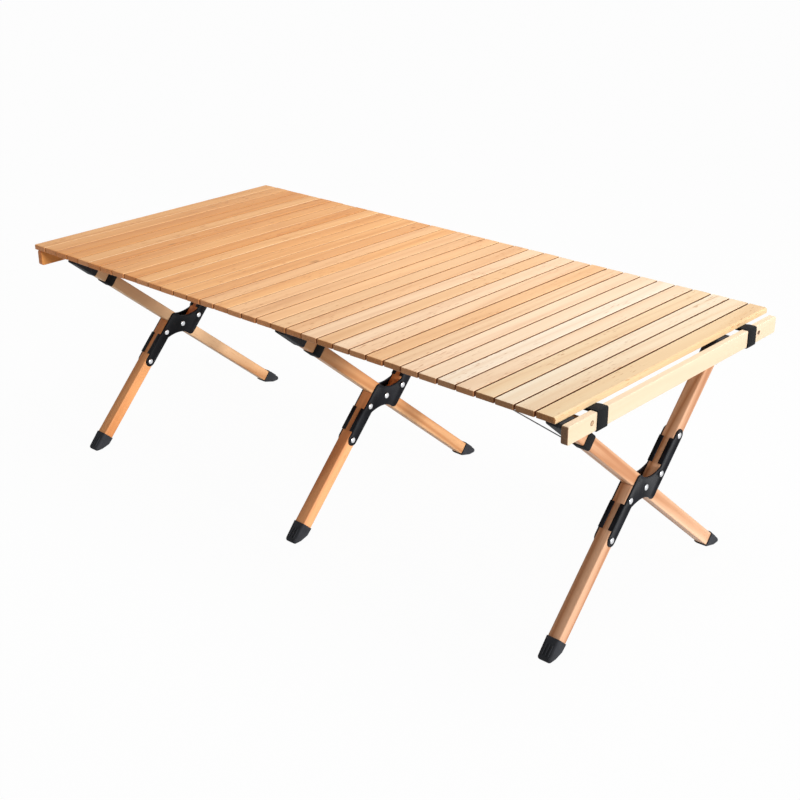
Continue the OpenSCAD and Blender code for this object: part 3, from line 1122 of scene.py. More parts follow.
def rivet_tree() -> Tree:
    """Domed heads set on points, each facing the way that its point says.

    Returns:
        The geometry tree.
    """
    inputs = {
        "Geometry": (GEOMETRY, None),
        "Head Radius": (FLOAT, 0.0055),
        "Head Height": (FLOAT, 0.0016),
        "Crown": (FLOAT, 0.6),
        "Rim Share": (FLOAT, 0.6),
        "Dome": (FLOAT, 0.8),
        "Steel": (MATERIAL, None),
    }
    g, i, sink = new_group("rivet_heads", GEOMETRY_TREE, inputs, {"Geometry": GEOMETRY})
    ball = g.call("GeometryNodeMeshUVSphere", {"Segments": 28, "Rings": 14, "Radius": 1.0})
    x, y, z = g.split(g.call("GeometryNodeInputPosition", {}))
    high = g.math("POWER", g.math("MAXIMUM", z, 0.0), i["Dome"])
    # The rim number marks the low edge of each dome, which the finish darkens as a painted reflection.
    ball = g.store(ball, "rim", g.band(high, i["Crown"], g.times(i["Crown"], i["Rim Share"])))
    dome = g.xyz(
        g.times(x, i["Head Radius"]),
        g.times(y, i["Head Radius"]),
        g.times(high, i["Head Height"]),
    )
    head = g.call("GeometryNodeSetPosition", {"Geometry": ball, "Position": dome})
    out = g.call("GeometryNodeInputNamedAttribute", {"Name": "out"}, data_type="FLOAT_VECTOR")
    turn = g.call("FunctionNodeAlignRotationToVector", {"Vector": out}, axis="Z")
    set_on = {"Points": i["Geometry"], "Instance": head, "Rotation": turn}
    heads = g.real(g.call("GeometryNodeInstanceOnPoints", set_on), i["Steel"])
    g.feed(sink, {"Geometry": heads})
    return g.tree


def rib_row_tree(bar_group: Tree) -> Tree:
    """Raised ribs side by side down a boot's front.

    Args:
        bar_group: The rounded bar.

    Returns:
        The geometry tree.
    """
    inputs = {
        "Count": (INTEGER, 3),
        "Pitch": (FLOAT, 0.0055),
        "Size": (VECTOR, (0.03, 0.003, 0.0026)),
        "Round": (FLOAT, 0.0008),
        "Rubber": (MATERIAL, None),
    }
    g, i, sink = new_group("boot_ribs", GEOMETRY_TREE, inputs, {"Geometry": GEOMETRY})
    half = g.times(g.minus(i["Count"], 1.0), g.times(i["Pitch"], -0.5))
    line = {
        "Count": i["Count"],
        "Start Location": g.xyz(0.0, 0.0, half),
        "Offset": g.xyz(0.0, 0.0, i["Pitch"]),
    }
    points = g.call("GeometryNodeMeshLine", line)
    corner = g.xyz(i["Round"], i["Round"], i["Round"])
    rib = g.group(bar_group, {"Size": i["Size"], "Round": corner, "Outer Round": i["Round"]})
    ribs = g.call("GeometryNodeInstanceOnPoints", {"Points": points, "Instance": rib.outputs[0]})
    g.feed(sink, {"Geometry": g.real(ribs, i["Rubber"])})
    return g.tree


@dataclass
class SlatTop:
    """The slats, from the rolling ones at the left to the flat ones at the right."""

    finishes: Finishes
    tree: Tree
    slats: int = 35
    width: float = 0.0329
    length: float = 0.6
    thickness: float = 0.01
    thickness_play: float = 0.0001
    gap_left: float = 0.0008
    gap_right: float = 0.0024
    edge_round: float = 0.0016
    end_round: float = 0.0022
    outer_round: float = 0.0042
    edge_warmth: float = 0.8
    top: float = 0.4
    strap_y: float = 0.213
    strap_thickness: float = 0.0016

    @property
    def rolling(self) -> int:
        """How many slats roll, from the left end."""
        return sum(joint["name"].startswith("roll_") for joint in frame["joints"])

    def left_edge(self, number: int) -> float:
        """The left edge of a slat.

        Args:
            number: The slat, counted from 0.

        Returns:
            The edge's X.
        """
        widen = (self.gap_right - self.gap_left) / (self.slats - 2)
        gaps = number * self.gap_left + widen * number * (number - 1) / 2
        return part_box("slat_1")[0].x + number * self.width + gaps

    def middle(self, number: int) -> float:
        """The middle line of a slat, counted from 0."""
        return self.left_edge(number) + self.width / 2

    def row(self, name: str, first: int, count: int, bare_edge: bool = False) -> Piece:
        """A piece of one or more slats.

        Args:
            name: The piece's name.
            first: The first slat, counted from 0.
            count: How many.
            bare_edge: Whether its right edge is the end of the top, rounded and left without painted gap
                shade.

        Returns:
            The piece.
        """
        values = {
            "First": first,
            "Count": count,
            "Slats": self.slats,
            "Size": (self.width, self.length, self.thickness - self.thickness_play),
            "Round": (self.edge_round, self.end_round, self.edge_round),
            "Outer Round": self.outer_round if bare_edge else self.edge_round,
            "Warmth": self.edge_warmth if bare_edge else 0.0,
            "Gap Left": self.gap_left,
            "Gap Right": self.gap_right,
            "Left Edge": self.left_edge(0),
            "Underside": self.top - self.thickness,
            "Strap Y": self.strap_y,
            "Strap Thickness": self.strap_thickness,
            "Wood": self.finishes.slat,
            "Steel": self.finishes.rivet,
        }
        mesh = grow(name, self.tree, values)
        mark_faces(mesh, "end_grain_and_ring_shade", FAR, NEAR)
        # Painted shade on the slat sides that face a gap; the outer side of the top stays light.
        mark_faces(mesh, "shaded_gap_side", *((LEFT,) if bare_edge else (LEFT, RIGHT)), least=0.75)
        # Painted highlight on the rounded upper edges.
        mark_faces(mesh, "painted_edge_highlight", 0.7 * (RIGHT + UP), 0.7 * (LEFT + UP), least=0.88)
        return flatten_shading(place_piece(name, mesh, sharp=60.0))

    def build(self) -> None:
        """Makes the slats and sets each on its body."""
        for k in range(self.rolling):
            piece = self.row(f"beech_slat_{k + 1}", k, 1)
            dress(piece, f"top_slat_{k + 1}", "slat_wood", f"slat_{k + 1}")
        flat = self.row("beech_flat_slats", self.rolling, self.slats - self.rolling - 1)
        dress(flat, "top_base", "pale_wood", "base_slats")
        last = self.row("beech_edge_slat", self.slats - 1, 1, bare_edge=True)
        dress(last, "top_base", "pale_wood", "base_slats")


@dataclass
class EndRails:
    """The rails at both ends, the peg and the thin corner cord."""

    finishes: Finishes
    corner: float = 0.004
    bevel: float = 0.0016
    hole_radius: float = 0.0043
    hole_y: float = 0.237
    bore_sides: int = 40
    overcut: float = 0.01
    peg_drop: float = 0.0132
    peg_play: float = 0.00005
    peg_proud: float = 0.0003
    peg_bevel: float = 0.0009
    peg_sides: int = 32
    peg_nose: tuple[Point, ...] = ((0.0, 0.55), (0.0006, 0.8), (0.002, 1.0))
    cord_diameter: float = 0.0018
    cord_inset: float = 0.015
    cord_drop: float = 0.022
    cord_run: float = 0.112
    cord_steps: int = 20

    def rail(self, name: str, node: str, material: Material, holes: Sequence[float] = ()) -> Piece:
        """A rail on edge with softened edges.

        Args:
            name: The piece's name.
            node: The CAD rail whose place it takes.
            material: Its finish.
            holes: The Y of each hole through it.

        Returns:
            The piece.
        """
        low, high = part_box(node)
        size, middle = high - low, (low + high) / 2
        outline = round_rect(size.y, size.z, self.corner)
        ends = (low.x, high.x)
        solid = Solid().loft([[(x, middle.y + y, middle.z + z) for y, z in outline] for x in ends])
        piece = place_piece(name, solid.soften(self.bevel, 40.0).mesh(name), material)
        for y in holes:
            self.drill(piece, y, high.z - self.peg_drop, ends)
        mark_faces(piece.data, "end_grain_and_ring_shade", FAR, NEAR)
        return flatten_shading(piece)

    def drill(self, piece: Piece, y: float, z: float, ends: Point) -> None:
        """Cuts a round hole through a rail.

        Args:
            piece: The rail.
            y: The hole's place along the rail.
            z: Its height.
            ends: The X of the rail's inner and outer faces.
        """
        r, ring = self.hole_radius, circle(self.bore_sides)
        reach = (ends[0] - self.overcut, ends[1] + self.overcut)
        bore = Solid().loft([[(x, y + r * c, z + r * s) for c, s in ring] for x in reach])
        cutter = place_piece("bore_cutter", bore.mesh("bore_cutter"))
        cut = piece.modifiers.new("bore", "BOOLEAN")
        cut.operation, cut.solver, cut.object = "DIFFERENCE", "EXACT", cutter
        mesh = plain_mesh(piece)
        piece.modifiers.clear()
        piece.data = mesh
        bpy.data.objects.remove(cutter)

    def peg(self) -> Piece:
        """The turned peg, with a rounded inner end and a flush outer end.

        Returns:
            The piece.
        """
        low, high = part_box("rail_peg")
        y, z = (low.y + high.y) / 2, (low.z + high.z) / 2
        r = (high.z - low.z) / 2 - self.peg_play
        ring = circle(self.peg_sides)
        stops = [(low.x + run, share) for run, share in self.peg_nose] + [(high.x + self.peg_proud, 1.0)]
        rings = [[(x, y + r * share * c, z + r * share * s) for c, s in ring] for x, share in stops]
        mesh = Solid().loft(rings).soften(self.peg_bevel, 50.0).mesh("rail_peg_turned")
        # Painted shadow: only the chamfer ring round the outer end takes the dark end colour, for the shadow
        # in the gap round the peg; the flat end face keeps the grain's colour.
        mark_faces(mesh, "end_grain_and_ring_shade", *(Vector((0.7, 0.7 * c, 0.7 * s)) for c, s in ring), least=0.8)
        return place_piece("rail_peg_turned", mesh, self.finishes.peg)

    def cord(self) -> Piece:
        """The thin cord from the rail's inner face to the underside of the slats.

        Returns:
            The piece.
        """
        x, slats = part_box("right_rail")[0].x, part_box("base_slats")[0]
        y, z = slats.y + self.cord_inset, slats.z - self.cord_diameter - self.cord_drop
        shares = [k / self.cord_steps for k in range(self.cord_steps + 1)]
        points = [(x - self.cord_run * share, y, z + self.cord_drop * share) for share in shares]
        curve = bpy.data.curves.new("corner_cord_line", "CURVE")
        curve.dimensions = "3D"
        curve.bevel_depth = self.cord_diameter / 2
        curve.bevel_resolution = 3
        curve.use_fill_caps = True
        spline = curve.splines.new("POLY")
        spline.points.add(len(points) - 1)
        for point, place in zip(spline.points, points):
            point.co = (*place, 1.0)
        curve.materials.append(self.finishes.cord)
        piece = show("corner_cord_line", curve)
        return piece

    def build(self) -> None:
        """Makes the rails, the peg and the cord."""
        dress(self.cord(), "top_base", "cord", "corner_cord")
        left = self.rail("left_end_rail", "left_rail", self.finishes.slat)
        dress(left, "top_slat_1", "slat_wood", "left_rail")
        right = self.rail("right_end_rail", "right_rail", self.finishes.rail, (-self.hole_y, self.hole_y))
        dress(right, "top_base", "pale_wood", "right_rail")
        dress(self.peg(), "top_base", "peg_wood", "rail_peg")


def unit(steps: np.ndarray) -> np.ndarray:
    """Rows of a table of steps, each at length 1."""
    return steps / np.maximum(np.linalg.norm(steps, axis=1, keepdims=True), 1e-12)


def ribbon(path: Sequence[Point], middle: float, width: float, thick: float, closed: bool = False) -> Mesh:
    """A strap that follows a line in the XZ plane, with soft edges and a map in metres.

    Args:
        path: The strap's middle line.
        middle: The Y of its middle.
        width: Its width.
        thick: Its thickness.
        closed: Whether the line comes back to its start.

    Returns:
        The mesh.
    """
    points = np.array(path, float)
    after = np.roll(points, -1, 0) - points
    before = points - np.roll(points, 1, 0)
    if not closed:
        after[-1], before[0] = before[-1], after[0]
    tangent = unit(unit(after) + unit(before))
    normal = np.stack([-tangent[:, 1], tangent[:, 0]], 1)
    w, h, edge = width / 2, thick / 2, thick * STRAP_EDGE
    upper = [(-w + edge, h), (0.0, h), (w - edge, h), (w, h - edge)]
    lower = [(w, -h + edge), (w - edge, -h), (0.0, -h), (-w + edge, -h), (-w, -h + edge), (-w, h - edge)]
    profile = upper + lower
    run = np.concatenate([[0.0], np.cumsum(np.linalg.norm(np.diff(points, axis=0), axis=1))])
    verts, faces, maps = [], [], []
    for p, n in zip(points, normal):
        verts += [(p[0] + n[0] * out, middle + y, p[1] + n[1] * out) for y, out in profile]
    count, rows = len(profile), len(points)
    loop_end = run[-1] + float(np.linalg.norm(points[0] - points[-1]))
    for r in range(rows if closed else rows - 1):
        following = (r + 1) % rows
        v0, v1 = run[r], run[r + 1] if r + 1 < rows else loop_end
        for k in range(count):
            n = (k + 1) % count
            faces.append((r * count + k, r * count + n, following * count + n, following * count + k))
            u0, u1 = profile[k][0], profile[n][0]
            maps += [(u0, v0), (u1, v0), (u1, v1), (u0, v1)]
    if not closed:
        faces.append(tuple(range(count - 1, -1, -1)))
        maps += [(u, run[0]) for u, _ in reversed(profile)]
        base = (rows - 1) * count
        faces.append(tuple(range(base, base + count)))
        maps += [(u, run[-1]) for u, _ in profile]
    mesh = bpy.data.meshes.new("ribbon")
    mesh.from_pydata(verts, [], faces)
    layer = mesh.uv_layers.new(name="strap")
    layer.data.foreach_set("uv", [c for uv in maps for c in uv])
    bm = bmesh.new()
    bm.from_mesh(mesh)
    bmesh.ops.recalc_face_normals(bm, faces=bm.faces[:])
    bm.to_mesh(mesh)
    bm.free()
    return mesh


def curve_between(a: Vector, b: Vector, c: Vector, steps: int) -> list[Point]:
    """Points on a curve from a to c that leans towards b.

    Args:
        a: The start.
        b: The point that it leans towards.
        c: The end.
        steps: How many steps it has.

    Returns:
        The points.
    """
    points = []
    for k in range(steps + 1):
        t = k / steps
        p = a * (1 - t) ** 2 + b * 2 * t * (1 - t) + c * t**2
        points.append((p.x, p.y))
    return points


def rounded_path(corners: Sequence[Point], radius: float, steps: int = 6) -> list[Point]:
    """A line through corners, each turned by a short curve.

    Args:
        corners: The corners.
        radius: How far before and after a corner the curve reaches.
        steps: Steps on each curve.

    Returns:
        The points.
    """
    points = [corners[0]]
    for k in range(1, len(corners) - 1):
        before, here, after = (Vector(corner) for corner in corners[k - 1 : k + 2])
        back, on = before - here, after - here
        a = here + back.normalized() * min(radius, back.length * CURVE_REACH)
        b = here + on.normalized() * min(radius, on.length * CURVE_REACH)
        points += curve_between(a, here, b, steps)
    return points + [corners[-1]]


@dataclass
class Straps:
    """The two webbing straps under the slats, with a loop round each end rail."""

    finishes: Finishes
    top: SlatTop
    width: float = 0.026
    thickness: float = 0.0016
    turn: float = 0.0022
    clearance: float = 0.00019
    layer_gap: float = 0.0001
    bend_reach: float = 0.003
    bend_stops: int = 9
    leave: float = 0.004
    tail: float = 0.03
    right_landing: float = 0.0005
    left_landing: float = 0.001

    def both(self, name: str, path: Sequence[Point]) -> Piece:
        """A piece with the same length of the near and the far strap.

        Args:
            name: The piece's name.
            path: The straps' middle line in the XZ plane.

        Returns:
            The piece.
        """
        places = (-self.top.strap_y, self.top.strap_y)
        pair = [ribbon(path, y, self.width, self.thickness) for y in places]
        return place_piece(name, joined(name, pair), self.finishes.webbing, sharp=50.0)

    def links(self, level: float) -> None:
        """The lengths between neighbouring slats, with extra points across each gap.

        Args:
            level: The height of the straps' middle line.
        """
        top, reach = self.top, self.bend_reach
        for k in range(top.rolling):
            gap_start, gap_end = top.left_edge(k) + top.width, top.left_edge(k + 1)
            xs = [top.middle(k), gap_start - 2 * reach]
            xs += list(np.linspace(gap_start - reach, gap_end + reach, self.bend_stops))
            xs += [gap_end + 2 * reach, top.middle(k + 1)]
            piece = self.both(f"strap_link_{k + 1}", [(x, level) for x in xs])
            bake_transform(piece)
            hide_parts("near_strap", "far_strap")

    def build(self) -> None:
        """Makes the links, the flat run with its loop at the right, and the loop at the left."""
        top, half = self.top, self.thickness / 2
        level = top.top - top.thickness - half
        self.links(level)
        off = half + self.clearance
        second = level - self.thickness
        low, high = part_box("right_rail")
        inner, outer, bottom, over = low.x - off, high.x + off, low.z - off, high.z + off
        edge = top.left_edge(top.slats - 1) + top.width
        corners = [
            (top.middle(top.rolling), level),
            (edge - self.leave, level),
            (low.x + self.right_landing, over),
            (outer, over),
            (outer, bottom),
            (inner, bottom),
            (inner, second - self.layer_gap),
            (edge - self.tail, second - self.layer_gap),
        ]
        run = self.both("strap_run_right", rounded_path(corners, self.turn))
        dress(run, "top_base", "webbing", "near_strap", "far_strap")
        low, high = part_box("left_rail")
        inner, outer, bottom, over = high.x + off, low.x - off, low.z - off, high.z + off
        corners = [
            (top.middle(0), level),
            (high.x - self.left_landing, over),
            (outer, over),
            (outer, bottom),
            (inner, bottom),
            (inner, second),
        ]
        loop = self.both("strap_loop_left", rounded_path(corners, self.turn))
        dress(loop, "top_slat_1", "webbing", "near_strap", "far_strap")


@dataclass
class FoldingFrame:
    """One X frame: a crossing leg, a split leg on stepped plates, boots, caps, rivets and a band."""

    side: Side
    finishes: Finishes
    rivets: Tree
    ribs: Tree
    leg: float = 0.022
    leg_round: float = 0.0022
    leg_play: float = 0.0003
    leg_stops: int = 12
    cross_slope: float = Lay.CROSS_LEG.value
    split_slope: float = -Lay.SPLIT_LEG.value
    step: float = 0.026
    split_end: float = 0.0136
    seat: float = 0.3897
    cross_top_gap: float = 0.018
    split_top_gap: float = 0.016
    foot_gap: float = 0.004
    wall: float = 0.002
    boot: float = 0.032
    boot_round: float = 0.0048
    taper: float = 0.0012
    rib_count: int = 3
    rib_drop: float = 0.011
    rib_end: float = 0.002
    rib_width: float = 0.0032
    rib_height: float = 0.0027
    rib_round: float = 0.0009
    rib_lift: float = 0.0003
    sole: float = 0.004
    toe: float = 0.012
    heel: float = 0.005
    heel_slope: float = 16.0
    cap: float = 0.044
    cap_corner: float = 0.0036
    cap_bevel: float = 0.0008
    cap_rim: Point = (0.0006, 0.0005)
    tip: float = 0.008
    band_drop: float = 0.027
    band_width: float = 0.020
    band_thickness: float = 0.0015
    plate: float = 0.002
    plate_edge: float = 0.0005
    plate_border: tuple[Point, ...] = ((0.0003, 0.00036), (0.0004, 0.00014), (0.0022, 0.0), (0.0009, -0.0007))
    arm: float = 0.021
    inner_rivet: float = 0.034
    outer_rivet: float = 0.101
    head_radius: float = 0.0055
    head_height: float = 0.0024
    head_crown: float = 0.62
    head_sink: float = 0.0008
    shoulder: float = 0.009
    bend_start: float = 0.003
    bend_lean: Point = (0.002, 0.002)
    bend_end: float = 0.004
    lip: float = 0.045
    lip_width: float = 0.008
    lip_thickness: float = 0.0015
    lip_fold: Point = (0.0016, 0.0014)
    lip_turns: tuple[float, ...] = (0.2, 0.6, 1.0, 1.4)
    lip_gap: float = 0.0002
    lip_end: Point = (0.001, 0.7)
    lip_bevel: float = 0.0003

    def __post_init__(self) -> None:
        """Works out the hub's place and each leg's reach."""
        fold = next(j for j in frame["joints"] if j["name"] == self.name("fold"))
        self.hub = Vector(fold["pos_m"])
        rise = self.seat - self.hub.z
        a, b = math.radians(self.cross_slope), math.radians(self.split_slope)
        half_rise = self.step * math.cos(b)
        self.cross_up, self.cross_down = rise / math.sin(a), self.hub.z / math.sin(a)
        self.split_up = (rise + half_rise) / math.sin(b)
        self.split_down = (self.hub.z + half_rise) / math.sin(b)
        self.cross = self.along(-self.cross_slope)
        self.split = self.along(self.split_slope)
        self.lip_middle = (self.inner_rivet + self.outer_rivet) / 2
        self.thin = self.leg - 2 * self.leg_play

    def along(self, degrees: float) -> Matrix:
        """The frame of a leg: X along it, Y square to it in the plane of the X, Z along the table.

        Args:
            degrees: The leg's slope.

        Returns:
            The matrix.
        """
        c, s = math.cos(math.radians(degrees)), math.sin(math.radians(degrees))
        turn = Matrix(((0, 0, 1, 0), (c, -s, 0, 0), (s, c, 0, 0), (0, 0, 0, 1)))
        return Matrix.Translation(self.hub) @ turn

    def name(self, piece: str) -> str:
        """A piece's name with the frame's side."""
        return f"{self.side.value}_{piece}"

    def stick(
        self, name: str, matrix: Matrix, ends: Point, step: float, thick: float, foot: float | None
    ) -> Mesh:
        """A straight length of leg with rounded edges.

        Args:
            name: The mesh's name.
            matrix: The leg's frame.
            ends: Where it starts and ends.
            step: Its step to the side.
            thick: Its thickness along the table.
            foot: Where its middle line meets the ground, for a stick that stands in a boot.

        Returns:
            The mesh.
        """
        outline = round_rect(self.leg, thick, self.leg_round)
        rings = [[(s, step + n, w) for n, w in outline] for s in np.linspace(*ends, self.leg_stops)]
        solid = Solid().loft(rings).move(matrix)
        if foot is not None:
            place = (matrix @ Vector((foot, step, 0))).y
            self.stand(solid, place, -math.copysign(1.0, foot), self.sole, self.toe - self.wall)
        mesh = solid.mesh(name)
        end = matrix.to_3x3() @ RIGHT
        mark_faces(mesh, "end_grain_and_ring_shade", end, -end)
        return mesh

    def stand(
        self, solid: Solid, foot: float, back: float, low: float, toe: float, inset: float = 0.0
    ) -> None:
        """Cuts a foot to its sole, its upright toe and its rising heel.

        Args:
            solid: What is cut.
            foot: The Y of the leg's middle line at the ground.
            back: The side of the heel along Y, 1 or -1.
            low: The height of the sole.
            toe: The toe's reach.
            inset: How far inside these faces the cuts lie.
        """
        slope = math.radians(self.heel_slope)
        heel = self.heel - inset * math.tan(slope / 2)
        solid.cut(Vector((0, 0, low + inset)), DOWN)
        solid.cut(Vector((0, foot - back * (toe - inset), 0)), Vector((0, -back, 0)))
        rise = Vector((0, back * math.sin(slope), -math.cos(slope)))
        solid.cut(Vector((0, foot + back * heel, low + inset)), rise)

    def boot_mesh(self, name: str, matrix: Matrix, down: float, step: float, sign: float) -> Mesh:
        """A boot with a rim, ribs down its front, an upright toe and a sloping heel.

        Args:
            name: The mesh's name.
            matrix: The leg's frame.
            down: The leg's reach to the ground.
            step: The leg's step to the side.
            sign: 1 where the leg's frame runs down to the foot, -1 where it runs up from it.

        Returns:
            The mesh.
        """
        rim, half, r = down - self.boot, self.leg / 2 + self.wall, self.boot_round
        end = down + self.leg
        lean = self.taper / (end - rim)
        rings = []
        for s in (rim - 3 * r, end):
            h = half - r - lean * (s - rim)
            rings.append([(sign * s, step + a * h, b * h) for a, b in ((1, 1), (-1, 1), (-1, -1), (1, -1))])
        solid = Solid().loft(rings).move(matrix)
        self.stand(solid, (matrix @ Vector((sign * down, step, 0))).y, -sign, 0.0, self.toe, inset=r)
        solid.wrap_balls(r)
        solid.cut(matrix @ Vector((sign * rim, step, 0)), matrix.to_3x3() @ Vector((-sign, 0, 0)))
        boot = solid.mesh(name)
        length = self.boot - self.rib_drop - self.rib_end
        values = {
            "Count": self.rib_count,
            "Pitch": self.leg / 4,
            "Size": (length, self.rib_width, self.rib_height),
            "Round": self.rib_round,
            "Rubber": self.finishes.rubber,
        }
        ribs = grow(name + "_ribs", self.ribs, values)
        front = half - self.taper + self.rib_lift
        place = Vector((sign * (rim + self.rib_drop + length / 2), step + front, 0))
        ribs.transform(matrix @ Matrix.Translation(place))
        return joined(name, [boot, ribs])

    def cap_mesh(self, name: str, matrix: Matrix, up: float, step: float, sign: float) -> Mesh:
        """An upper end cap, cut level under the slats.

        Args:
            name: The mesh's name.
            matrix: The leg's frame.
            up: The leg's reach to its seat.
            step: The leg's step to the side.
            sign: 1 where the leg's frame runs up to the cap, -1 where it runs down from it.

        Returns:
            The mesh.
        """
        half, rim = self.leg / 2 + self.wall, up - self.cap
        run, fall = self.cap_rim
        rings = []
        for s, h in ((rim, half - fall), (rim + run, half), (up + self.tip, half)):
            outline = round_rect(2 * h, 2 * h, self.cap_corner)
            rings.append([(sign * s, step + n, w) for n, w in outline])
        solid = Solid().loft(rings).move(matrix).cut(Vector((0, 0, self.seat)), UP)
        return solid.soften(self.cap_bevel, 24.0).mesh(name)

    def legs(self) -> None:
        """Makes the three sticks."""
        cross, split = self.finishes.cross_leg[self.side], self.finishes.split_leg[self.side]
        down, low = self.cross_down, -self.split_down
        crossing = (self.cross_top_gap - self.cross_up, down - self.foot_gap)
        lower = (low + self.foot_gap, -self.split_end)
        upper = (self.split_end, self.split_up - self.split_top_gap)
        sticks = (
            ("crossing_leg", "cross", "cross_leg", cross, self.cross, crossing, 0.0, self.thin, down),
            ("split_leg_lower", "frame", "lower_leg", split, self.split, lower, self.step, self.leg, low),
            ("split_leg_upper", "frame", "upper_leg", split, self.split, upper, -self.step, self.leg, None),
        )
        for label, body, node, finish, *shape in sticks:
            name = self.name(label)
            piece = place_piece(name, self.stick(name, *shape), finish)
            dress(piece, self.name(body), "leg_wood", self.name(node))

    def boots(self) -> None:
        """Makes the boots and the upper end caps."""
        parts = (
            ("cross_boot", "cross", self.boot_mesh, self.cross, self.cross_down, 0.0, 1.0),
            ("cross_top_cap", "cross", self.cap_mesh, self.cross, self.cross_up, 0.0, -1.0),
            ("split_boot", "frame", self.boot_mesh, self.split, self.split_down, self.step, -1.0),
            ("split_top_cap", "frame", self.cap_mesh, self.split, self.split_up, -self.step, 1.0),
        )
        for label, body, make, *shape in parts:
            name = self.name(label)
            piece = flatten_shading(place_piece(name, make(name, *shape), self.finishes.rubber))
            node = "cross_leg_caps" if body == "cross" else "split_leg_caps"
            dress(piece, self.name(body), "boot_rubber", self.name(node))

    def outline(self) -> list[Point]:
        """The edge of a hub plate: two arms stepped to either side of the hub, with tabs for the lips.

        Returns:
            Points along the leg and square to it.
        """
        half, edge = self.arm / 2, self.step + self.arm / 2
        rise = self.leg / 2 + self.lip_thickness - half

        def arc(cx: float, cy: float, r: float, a0: float, a1: float, steps: int) -> list[Point]:
            """Points on a round corner."""
            turns = [math.radians(a0 + (a1 - a0) * k / steps) for k in range(steps + 1)]
            return [(cx + r * math.cos(t), cy + r * math.sin(t)) for t in turns]

        def tab(s: float, n: float) -> list[Point]:
            """The edge of a tab that carries a lip."""
            a, b = s - self.lip / 2, s + self.lip / 2
            return [(a, n), (a, n + rise), (b, n + rise), (b, n)]

        end = arc(-self.outer_rivet, self.step, half, 270, 90, 16)
        shoulder = arc(0.0, edge - self.shoulder, self.shoulder, 90, 0, 9)
        a = (self.shoulder, edge - self.shoulder - self.bend_start)
        b = (self.shoulder + self.bend_lean[0], self.bend_lean[1])
        c = (self.lip_middle - self.lip / 2 - self.bend_end, half - self.step)
        bend = curve_between(Vector(a), Vector(b), Vector(c), 12)
        upper = end + tab(-self.lip_middle, edge) + shoulder + bend + tab(self.lip_middle, half - self.step)
        return upper + [(-s, -n) for s, n in end + shoulder + bend]

    def plate_mesh(self, face: float) -> Mesh:
        """A hub plate with a pressed border, and its two lips.

        Args:
            face: 1 for the plate on the right of the legs, -1 for the one on their left.

        Returns:
            The mesh.
        """
        inner, outer = self.leg / 2, self.leg / 2 + self.plate
        points = self.outline()
        solid = Solid().loft([[(s, n, w) for s, n in points] for w in (inner, outer - self.plate_edge)])
        front = solid.bm.faces[:][-1]
        solid.face_out()
        for width, depth in self.plate_border:
            bmesh.ops.inset_region(
                solid.bm, faces=[front], thickness=width, depth=depth, use_even_offset=True
            )
        meshes = [solid.mesh("plate")]
        t, reach = self.lip_thickness, outer - self.lip_width
        drop, curve = self.lip_fold
        run, share = self.lip_end
        for sign in (-1, 1):
            base = -sign * self.step + self.leg / 2
            ends = (sign * self.lip_middle - self.lip / 2, sign * self.lip_middle + self.lip / 2)
            edge = [(base, inner + self.lip_gap)]
            edge += [(base + t * math.sin(q), outer - drop + curve * math.cos(q)) for q in self.lip_turns]
            edge += [(base + t, reach + run), (base + t * share, reach), (base, reach)]
            lip = Solid().loft([[(s, n, w) for n, w in edge] for s in ends])
            meshes.append(lip.soften(self.lip_bevel, 50.0, 2).mesh("lip"))
        made = joined("plate", meshes)
        if face < 0:
            made.transform(Matrix.Diagonal((1, 1, -1, 1)))
            made.flip_normals()
        made.transform(self.split)
        return made

    def plates(self) -> None:
        """Makes the pair of hub plates."""
        name = self.name("stepped_plates")
        mesh = joined(name, [self.plate_mesh(face) for face in (-1.0, 1.0)])
        piece = place_piece(name, mesh, self.finishes.plate, sharp=40.0)
        dress(piece, self.name("frame"), "plate_steel", self.name("hub_plates"))

    def rivet_heads(self) -> None:
        """Makes the rivets' heads on both plates."""
        spots = [(0.0, 0.0)]
        for sign in (-1, 1):
            spots += [(sign * s, -sign * self.step) for s in (self.inner_rivet, self.outer_rivet)]
        level = self.leg / 2 + self.plate - self.head_sink
        places, outs = [], []
        for face in (-1, 1):
            for s, n in spots:
                places.append(self.split @ Vector((s, n, face * level)))
                outs += [float(face), 0.0, 0.0]
        seed = bpy.data.meshes.new(self.name("rivet_spots"))
        seed.from_pydata(places, [], [])
        seed.attributes.new("out", "FLOAT_VECTOR", "POINT").data.foreach_set("vector", outs)
        name = self.name("rivet_heads")
        values = {
            "Head Radius": self.head_radius,
            "Head Height": self.head_height,
            "Crown": self.head_crown,
            "Steel": self.finishes.rivet,
        }
        piece = place_piece(name, grow(name, self.rivets, values, seed), sharp=50.0)
        dress(piece, self.name("frame"), "rivet_steel", self.name("rivets"))

    def band(self) -> None:
        """Makes the webbing band round the crossing leg."""
        t = self.band_thickness
        path = round_rect(self.leg + t, self.thin + t, self.leg_round + t / 2)
        middle = -self.cross_up + self.cap + self.band_drop + self.band_width / 2
        mesh = ribbon(path, 0.0, self.band_width, t, closed=True)
        # the ribbon's own X, Y and Z are the leg's normal, its length and the table's length
        swap = Matrix(((0, 1, 0, middle), (1, 0, 0, 0), (0, 0, 1, 0), (0, 0, 0, 1)))
        mesh.transform(self.cross @ swap)
        mesh.flip_normals()
        piece = place_piece(self.name("band"), mesh, self.finishes.webbing, sharp=50.0)
        dress(piece, self.name("cross"), "webbing", self.name("keeper_band"))

    def build(self) -> None:
        """Makes the whole frame."""
        self.legs()
        self.boots()
        self.plates()
        self.rivet_heads()
        self.band()


